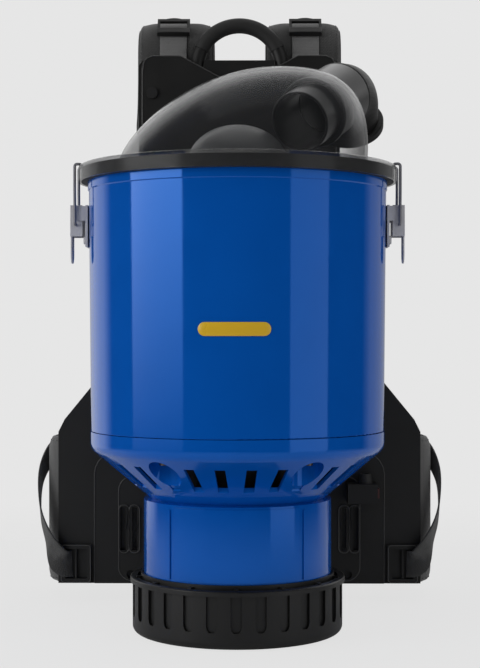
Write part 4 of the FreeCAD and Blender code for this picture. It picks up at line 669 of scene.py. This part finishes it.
def sewn_pad(nodes, to_places, box, thick, corner, cap, finish, rows=()):
    """A pad with its piping and stitches: made flat once, then bent to each of its places."""
    flat = new_piece("flat_pad", None, finish, work=cut_pad(box, thick, corner))
    swell(flat, voxel=4.5, pressure=4.0, cap=cap)
    sew_channels(flat, rows, width=5.0, depth=0.34)
    bpy.context.view_layer.update()
    pipe = piping(rim_points(box, corner, step=6.0), flat, radius=1.7)
    left, foot, right, top = box
    inner = (left + SEAM, foot + SEAM, right - SEAM, top - SEAM)
    seam = stitches(rim_points(inner, corner * 0.6, step=4.2), flat)
    keep_cloth_place(flat.data)
    for node, to_place in zip(nodes, to_places):
        pad = new_piece(node + "_sewn", "vacuum", finish, bend(flat.data.copy(), to_place))
        smooth = pad.modifiers.new("smooth", "SUBSURF")
        smooth.levels = smooth.render_levels = 1
        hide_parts(node)
        new_piece(node + "_piping", "vacuum", binding, bend(pipe.copy(), to_place))
        new_piece(node + "_stitches", "vacuum", thread, bend(seam.copy(), to_place))
    bpy.data.objects.remove(flat)
    print(nodes, len(pad.data.vertices), "points each")

# %% [markdown]
# ## Pads of the harness
# The back pad lies flat on its plate, with three cross channels that let it bend. The hip pads
# wrap round the waist, and the shoulder pads go up behind the plate, over in a roll, and down.
# All are cut flat, some millimetres thinner than their CAD solids, and swell towards them.

# %% Sew and place the pads
BACK_MIDDLE = 161.9  # y of the middle of the back pad
HIP_MIDDLE = 86.5  # height of the middle of the hip pads
STRAP_EAST = 64.4  # from the middle plane to the middle of a load strap and its buckle
SHOULDER_EAST = 62.5  # the same for a shoulder pad

sewn_pad(["back_pad"], [lambda p: Vector((p.x, BACK_MIDDLE * MM + p.z, p.y))],
         (-81, 171, 81, 429), thick=14.0, corner=20, cap=2.8, finish=back_cordura,
         rows=(235, 300, 365))


def wing(side):
    """Places a flat hip pad: its length runs outwards and then back round the waist."""
    line = bent_line([(92, 160.4), (180.4, 160.4), (176, 226)], [15])

    def to_place(p):
        spot, way = on_line(line, p.y)
        return Vector((side * (spot.x + way.y * p.z), spot.y - way.x * p.z,
                       HIP_MIDDLE * MM + p.x))
    return to_place, line[-1][0] / MM


hip_length = wing(1)[1]
sewn_pad(["hip_pad_left", "hip_pad_right"], [wing(-1)[0], wing(1)[0]],
         (-74, 0, 72, hip_length - 2), thick=12.0, corner=12, cap=2.4, finish=hip_cordura_painted_paler)


def over_shoulder(east):
    """Places a flat shoulder pad: its length runs up, over and down."""
    line = bent_line([(170, 440), (170, 557), (227, 557), (230, 326), (220, 176)], [26.5] * 3)

    def to_place(p):
        spot, way = on_line(line, p.y)
        return Vector((east * MM + p.x, spot.x - way.y * p.z, spot.y + way.x * p.z))
    return to_place, line[-1][0] / MM


shoulder_length = over_shoulder(0)[1]
sewn_pad(["shoulder_pad_left", "shoulder_pad_right"],
         [over_shoulder(-SHOULDER_EAST)[0], over_shoulder(SHOULDER_EAST)[0]],
         (-38.8, 3, 38.8, shoulder_length - 3), thick=11.5, corner=12, cap=2.6,
         finish=strap_cordura)

# %% [markdown]
# ## Webbing
# A strap is a flat strip of cloth, so it is a grid with its UV map counted in millimetres, bent
# along its line and then given its thickness. Modelling it directly keeps its crisp edges, which
# a remesh for a cloth simulation would lose.

# %% Straps on a flat line
WEB = 1.5  # thickness of all the webbing


def thicken(item, thick):
    """Gives a skin its thickness in millimetres, half to each side."""
    body = item.modifiers.new("thickness", "SOLIDIFY")
    body.thickness, body.offset = thick * MM, 0.0


def soften(item, width):
    """Rounds the sharp edges of a piece by a width in millimetres."""
    edge = item.modifiers.new("soft_edge", "BEVEL")
    edge.width, edge.segments, edge.limit_method = width * MM, 2, "ANGLE"


def strap(name, width, length, to_place, finish):
    """A webbing strap, flat first, then bent to its place."""
    work = bmesh.new()
    bmesh.ops.create_grid(work, x_segments=6, y_segments=max(8, int(length / 3)), size=0.5)
    bmesh.ops.scale(work, vec=(width * MM, length * MM, 1), verts=work.verts)
    bmesh.ops.translate(work, vec=(0, length / 2 * MM, 0), verts=work.verts)
    printed = work.loops.layers.uv.new("UVMap")
    for face in work.faces:
        for corner in face.loops:
            corner[printed].uv = (corner.vert.co.x / MM, corner.vert.co.y / MM)
    mesh = bpy.data.meshes.new(name)
    work.to_mesh(mesh)
    work.free()
    made = new_piece(name, "vacuum", finish, bend(mesh, to_place, closed=False))
    thicken(made, WEB)
    soften(made, 0.35)
    return made


def run_in_plane(corners, radii, plane):
    """How a strap lies whose line stays in a plane, and the line's length in millimetres."""
    line = bent_line(corners, radii)

    def to_place(p):
        spot, way = on_line(line, p.y)
        return plane(spot, way, p)
    return to_place, line[-1][0] / MM


load_straps, belts = [], []
for side, hand in SIDES:
    lay, long = run_in_plane(
        [(152.6, 470.5), (152.6, 514), (160.9, 528), (160.9, 553.6), (182.7, 563.3)], [4, 4, 35.6],
        lambda spot, way, p, side=side: Vector((side * STRAP_EAST * MM + p.x, spot.x, spot.y)))
    load_straps.append(strap(f"load_strap_{hand}", 26.0, long, lay, grey_webbing))
    lay, long = run_in_plane(
        [(187.9, 186.5), (183.0, 240.8), (25, 240.8)], [9],
        lambda spot, way, p, side=side: Vector((side * spot.x, spot.y, 66 * MM + p.x)))
    belts.append(strap(f"waist_strap_{hand}", 37.6, long, lay, black_webbing))
for pair, node in ((load_straps, "shoulder_webbing"), (belts, "waist_webbing")):
    for one in pair:
        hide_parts(node)
print("load and waist straps made")

# %% [markdown]
# The hip straps come from behind the hip pads and bow outwards, nearly edge on to the front. A
# quarter twist then brings each one flat over its buckle's outer bar and down into the buckle. The
# stations below give the strap's middle in metres and how far it is turned in degrees, and a
# smooth line goes through them all.

# %% Hip straps with their twist
def smooth_run(stations, steps=8):
    """Points on a smooth line through stations, each a vector of any length."""
    spots = [Vector(s) for s in stations]
    spots = [2 * spots[0] - spots[1], *spots, 2 * spots[-1] - spots[-2]]
    run = []
    for a, b, c, d in zip(spots, spots[1:], spots[2:], spots[3:]):
        for i in range(steps):
            t = i / steps
            run.append((2 * b + (c - a) * t + (2 * a - 5 * b + 4 * c - d) * t ** 2
                        + (3 * b - a - 3 * c + d) * t ** 3) / 2)
    return run + [spots[-2]]


hip_run = smooth_run([(0.1815, 0.2040, 0.1425, -8), (0.1893, 0.1880, 0.1340, -6),
                      (0.1942, 0.1705, 0.1184, -2), (0.1942, 0.1575, 0.0992, 3),
                      (0.1906, 0.1475, 0.0784, 9), (0.1826, 0.1400, 0.0590, 22),
                      (0.1752, 0.1362, 0.0442, 54), (0.1708, 0.1354, 0.0382, 80),
                      (0.1658, 0.1358, 0.0356, 90), (0.1606, 0.1392, 0.0356, 90)])
hip_line = measured(hip_run)


def hip_lay(side):
    """Places a flat strap on the twisting line."""
    def to_place(p):
        spot, way = on_line(hip_line, p.y)
        turn = math.radians(spot[3])
        way = way.xyz.normalized()
        across = way.cross(Vector((math.cos(turn), -math.sin(turn), 0))).normalized()
        at = spot.xyz + across * p.x
        return Vector((side * at.x, at.y, at.z))
    return to_place


for side, hand in SIDES:
    made = strap(f"hip_strap_{hand}", 25.0, hip_line[-1][0] / MM, hip_lay(side), black_webbing)
    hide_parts("hip_straps")
print("hip straps", round(hip_line[-1][0] / MM), "mm long")

# %% [markdown]
# Each three-bar buckle ends in a lip at the top, which is lifted with a thumb to slacken the strap.
# Its free edge rises in the middle. A cover plate closes the lower window, and the strap's end is
# folded over the middle bar. All three are made in the buckle's own frame: one axis up along the
# buckle and one out from it.

# %% Lips, covers and folds of the ladder buckles
lean = math.radians(41)  # the buckle's angle on the roll, counted up from the front
roll = Vector((196.5, 530.5)) * MM  # the middle of the shoulder pads' roll, as (y, z)
up, out = Vector((math.sin(lean), math.cos(lean))), Vector((-math.cos(lean), math.sin(lean)))
buckle_at = roll + out * 36.7 * MM  # where the CAD buckles have their middle
BUCKLE_WIDE = 31.6


def buckle_plate(name, side, thick, shape):
    """A thin plate on the buckle: shape gives its place up and out from its two shares."""
    work = bmesh.new()
    bmesh.ops.create_grid(work, x_segments=16, y_segments=4, size=0.5)
    for v in work.verts:
        along, away = shape(v.co.x * 2, v.co.y + 0.5)
        spot = buckle_at + (up * along + out * away) * MM
        v.co = Vector(((side * STRAP_EAST + v.co.x * BUCKLE_WIDE) * MM, spot.x, spot.y))
    made = new_piece(name, "vacuum", finishes["black_plastic"], work=work)
    thicken(made, thick)
    soften(made, 0.5)


def lip_shape(east, share):
    """The thumb lip: its free edge rises in a hump in the middle."""
    hump = max(0, math.cos(east * math.pi / 2)) ** 1.5
    return 9.2 + (1.2 + 3.6 * hump) * share, 1.6 + 0.6 * share


for side, hand in SIDES:
    buckle_plate(f"buckle_lip_{hand}", side, 1.8, lip_shape)
    buckle_plate(f"buckle_cover_{hand}", side, 1.6,
                 lambda east, share: (7.6 * share - 11, 4.2 - 0.4 * east * east))
    lay, long = run_in_plane(
        [(-2.8, 0.6), (-2.8, 4.9), (2.8, 4.9), (2.8, 0.6)], [2, 2],
        lambda spot, way, p, side=side: Vector((side * STRAP_EAST * MM + p.x,
                                                *(buckle_at + up * spot.x + out * spot.y))))
    strap(f"strap_fold_{hand}", 26.0, long, lay, grey_webbing)
print("buckle lips, covers and folds made")

# %% [markdown]
# ## Edge beads
# The moulded plates have a fine raised bead along their edges and round the strap slots, which
# catches the light. Each bead is half sunk in its plate, and is a little paler than the plate:
# a painted highlight for the light that the bead catches.

# %% Beads on the plates and buckles
# painted highlight: the beads are paler than the black plates to show the light that their edges
# catch
bead_painted_highlight = moulded("black_polypropylene_edge_painted_highlight", "343434", "3E3E3E", 0.4, 0.8, 0.02, IOR=1.49)
BEAD = 0.55  # radius of a bead
# y of the faces that beads lie on: the slots' rims, the hip buckles, the hip plate and the yoke
SLOT_FRONT, BUCKLE_FRONT, PLATE_FRONT, YOKE_FRONT = 138.7, 136.8, 139.9, 143.0


def frame_line(box, corner):
    """A rectangle's edge with rounded corners, as (east, height) in millimetres."""
    return [(v.x / MM, v.y / MM) for v in rim_points(box, corner, 8)]


def bead(name, line, front, closed=True):
    """A fine cord along a line of (east, height), on a face that looks to the front."""
    mesh = cord([Vector((x, front, z)) * MM for x, z in line], BEAD, closed)
    new_piece(name, "vacuum", bead_painted_highlight, mesh)


step_edge = [(139, 17), (139, 122), (138, 128), (135, 134), (129, 140), (99, 157)]
yoke_edge = [(18.6, 503.2), (56.6, 523.6), (83.1, 523.6), (88.6, 521.6), (91.6, 517.6),
             (93.1, 509.6), (93.1, 407.2), (87.1, 401.2)]
bead("recess_bead", frame_line((-115.7, 19, 115.7, 119), 13), PLATE_FRONT)
for side, hand in SIDES:
    for number, east in enumerate((100.5, 110.5), 1):
        slot_box = (side * east - 5, 46, side * east + 5, 92)
        bead(f"slot_bead_{hand}_{number}", frame_line(slot_box, 4.9), SLOT_FRONT)
    buckle_box = (side * 156.5 - 13.9, 17.8, side * 156.5 + 13.9, 53.4)
    bead(f"buckle_bead_{hand}", frame_line(buckle_box, 3), BUCKLE_FRONT)
    for name, edge, front in (("step", step_edge, PLATE_FRONT), ("yoke", yoke_edge, YOKE_FRONT)):
        bead(f"{name}_bead_{hand}", [(side * x, z) for x, z in edge], front, closed=False)
print("beads laid")

# %% [markdown]
# ## Foam and filter
# Two foams are hidden in the machine, one round the motor and one over the exhaust. They are
# open-cell foam, so the finish is full of small pits. The cone filter is needled felt: four
# gores with upright seams, which draw the felt in a little.

# %% Foam rings and felt cone
def pitted(name, colour, shade, cell_mm, depth_mm):
    """Open-cell foam or felt: small cells, and a soft mottling of dust."""
    made, tree, shader = principled(name, colour, 0.95, Sheen_Weight=0.3, Sheen_Roughness=0.6)
    spot = put(tree, "TexCoord").outputs["Object"]
    cells = put(tree, "TexVoronoi", {"Vector": spot, "Scale": 1 / (cell_mm * MM)})
    cloud = put(tree, "TexNoise", {"Vector": spot, "Scale": 1 / (25 * MM), "Detail": 5.0})
    mixed = put(tree, "Math", {0: cells.outputs["Distance"], 1: cloud.outputs["Fac"]},
                operation="MULTIPLY")
    tint = blend(tree, mixed.outputs[0], linear(shade), linear(colour))
    bump = put(tree, "Bump", {"Height": cells.outputs["Distance"], "Distance": depth_mm * MM,
                              "Strength": 0.8})
    feed(tree, shader, Base_Color=tint, Normal=bump.outputs[0])
    return made


foam = pitted("open_cell_foam", "54565A", "2C2D30", 1.8, 0.6)
felt = pitted("needled_felt", "D4D3CE", "A9A8A2", 1.1, 0.2)


def turned_piece(name, corners, soft, finish, steps=72):
    """A ring or disc from its section, (radius, height) in millimetres, with rounded edges."""
    work = bmesh.new()
    section = work.faces.new([work.verts.new((r * MM, 0, z * MM)) for r, z in corners])
    rim = [v for v in section.verts if v.co.x > 1e-6]
    bmesh.ops.bevel(work, geom=rim, offset=soft * MM, offset_type="OFFSET", segments=3,
                    profile=0.5, affect="VERTICES", material=-1)
    work.faces.ensure_lookup_table()
    bmesh.ops.delete(work, geom=list(work.faces), context="FACES_ONLY")
    axis_edges = [e for e in work.edges if all(v.co.x < 1e-6 for v in e.verts)]
    bmesh.ops.delete(work, geom=axis_edges, context="EDGES")
    long_edges = [e for e in work.edges if e.calc_length() > 12 * MM]
    bmesh.ops.subdivide_edges(work, edges=long_edges, cuts=7)
    bmesh.ops.spin(work, geom=work.edges[:] + work.verts[:], cent=(0, 0, 0), axis=(0, 0, 1),
                   angle=math.tau, steps=steps, use_merge=True)
    bmesh.ops.remove_doubles(work, verts=work.verts, dist=1e-5)
    bmesh.ops.recalc_face_normals(work, faces=work.faces)
    return new_piece(name, "vacuum", finish, work=work)


def box_mm(node):
    """The low and the high corner of a CAD node's box in millimetres."""
    return [[v / MM for v in corner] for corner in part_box(node)]


for node in ("motor_foam", "exhaust_foam"):
    low, high = box_mm(node)
    inner = high[0] - 11 if node == "motor_foam" else 0
    ring = turned_piece(node + "_soft", [(inner, low[2]), (high[0], low[2]), (high[0], high[2]),
                                         (inner, high[2])], 2.5, foam)
    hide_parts(node)
print("foams made")

# %% [markdown]
# The felt cone's wall is turned as one closed skin, then drawn in by a millimetre along four
# upright seams, and each seam gets its thread.

# %% Felt cone with its seams
low, high = box_mm("cone_filter")
foot, top = high[0], 43.0
cone = turned_piece("cone_filter_felt", [(foot - 7, low[2]), (foot, low[2]), (top, high[2]),
                                         (top - 7, high[2])], 1.6, felt, 96)
for v in cone.data.vertices:
    turn = math.atan2(v.co.y, v.co.x)
    seam = math.exp(-(math.sin(2 * turn) / 0.12) ** 2)
    reach = math.hypot(v.co.x, v.co.y)
    v.co.xy *= 1 - 1.2 * MM * seam / reach
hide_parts("cone_filter")
work = bmesh.new()
for quarter in range(4):
    for i in range(26):
        share = (i + 1) / 27
        reach = foot + (top - foot) * share - 1.0
        lean_in = math.atan2(foot - top, high[2] - low[2])
        place = (Matrix.Rotation(quarter * math.pi / 2, 4, "Z")
                 @ Matrix.Translation((reach * MM, 0, (low[2] + (high[2] - low[2]) * share) * MM))
                 @ Matrix.Rotation(-lean_in, 4, "Y"))
        bmesh.ops.create_icosphere(work, subdivisions=1, radius=1.0,
                                   matrix=place @ Matrix.Diagonal((0.4 * MM, 0.5 * MM, 2 * MM, 1)))
new_piece("filter_stitches", "vacuum", thread, work=work)
print("felt cone", len(cone.data.vertices), "points")

# %% [markdown]
# ## Badge
# A plain yellow pill sits on the front of the canister. It is a thin moulded plate, so it is cut
# flat, sliced so that it can bend, given its thickness, and rolled round the canister's wall.

# %% Yellow pill on the canister
work = bmesh.new()
work.faces.new([work.verts.new(p) for p in rim_points((-29, -5.5, 29, 5.5), 5.45, 60)])
for i in range(-11, 12):
    bmesh.ops.bisect_plane(work, geom=work.verts[:] + work.edges[:] + work.faces[:],
                           plane_co=(i * 2.5 * MM, 0, 0), plane_no=(1, 0, 0))
skin = bmesh.ops.extrude_face_region(work, geom=list(work.faces))["geom"]
bmesh.ops.translate(work, vec=(0, 0, 0.7 * MM),
                    verts=[v for v in skin if isinstance(v, bmesh.types.BMVert)])
bmesh.ops.recalc_face_normals(work, faces=work.faces)
wall, height = 127.2 * MM, 259.9 * MM  # the wall's radius, and where the pill has its middle
for v in work.verts:
    turn = (v.co.x - 1 * MM) / wall
    reach = wall + v.co.z
    v.co = Vector((reach * math.sin(turn), -reach * math.cos(turn), height + v.co.y))
yellow = moulded("yellow_abs_badge", "D2AA1E", "CBA11A", 0.3, 1.5, 0.01, IOR=1.53)
badge = new_piece("front_badge", "vacuum", yellow, work=work)
soften(badge, 0.25)
print("badge 58 by 11 mm")

# %% [markdown]
# ## Finish every CAD node
# The record names a material slot for each node. Each hard slot has one finish here, so a loop
# dresses them all. The pieces that stand for soft nodes had theirs when they were made.

# %% Dress the CAD nodes
slot_of = {row["node"]: row["material_slot"] for row in frame["record"]["subparts"]}
for name, item in frame["nodes"].items():
    item.data.materials.clear()
    finish = finishes.get(slot_of[name])
    if finish:
        item.data.materials.append(finish)
print("dressed", sum(slot_of[n] in finishes for n in frame["nodes"]), "of", len(frame["nodes"]))
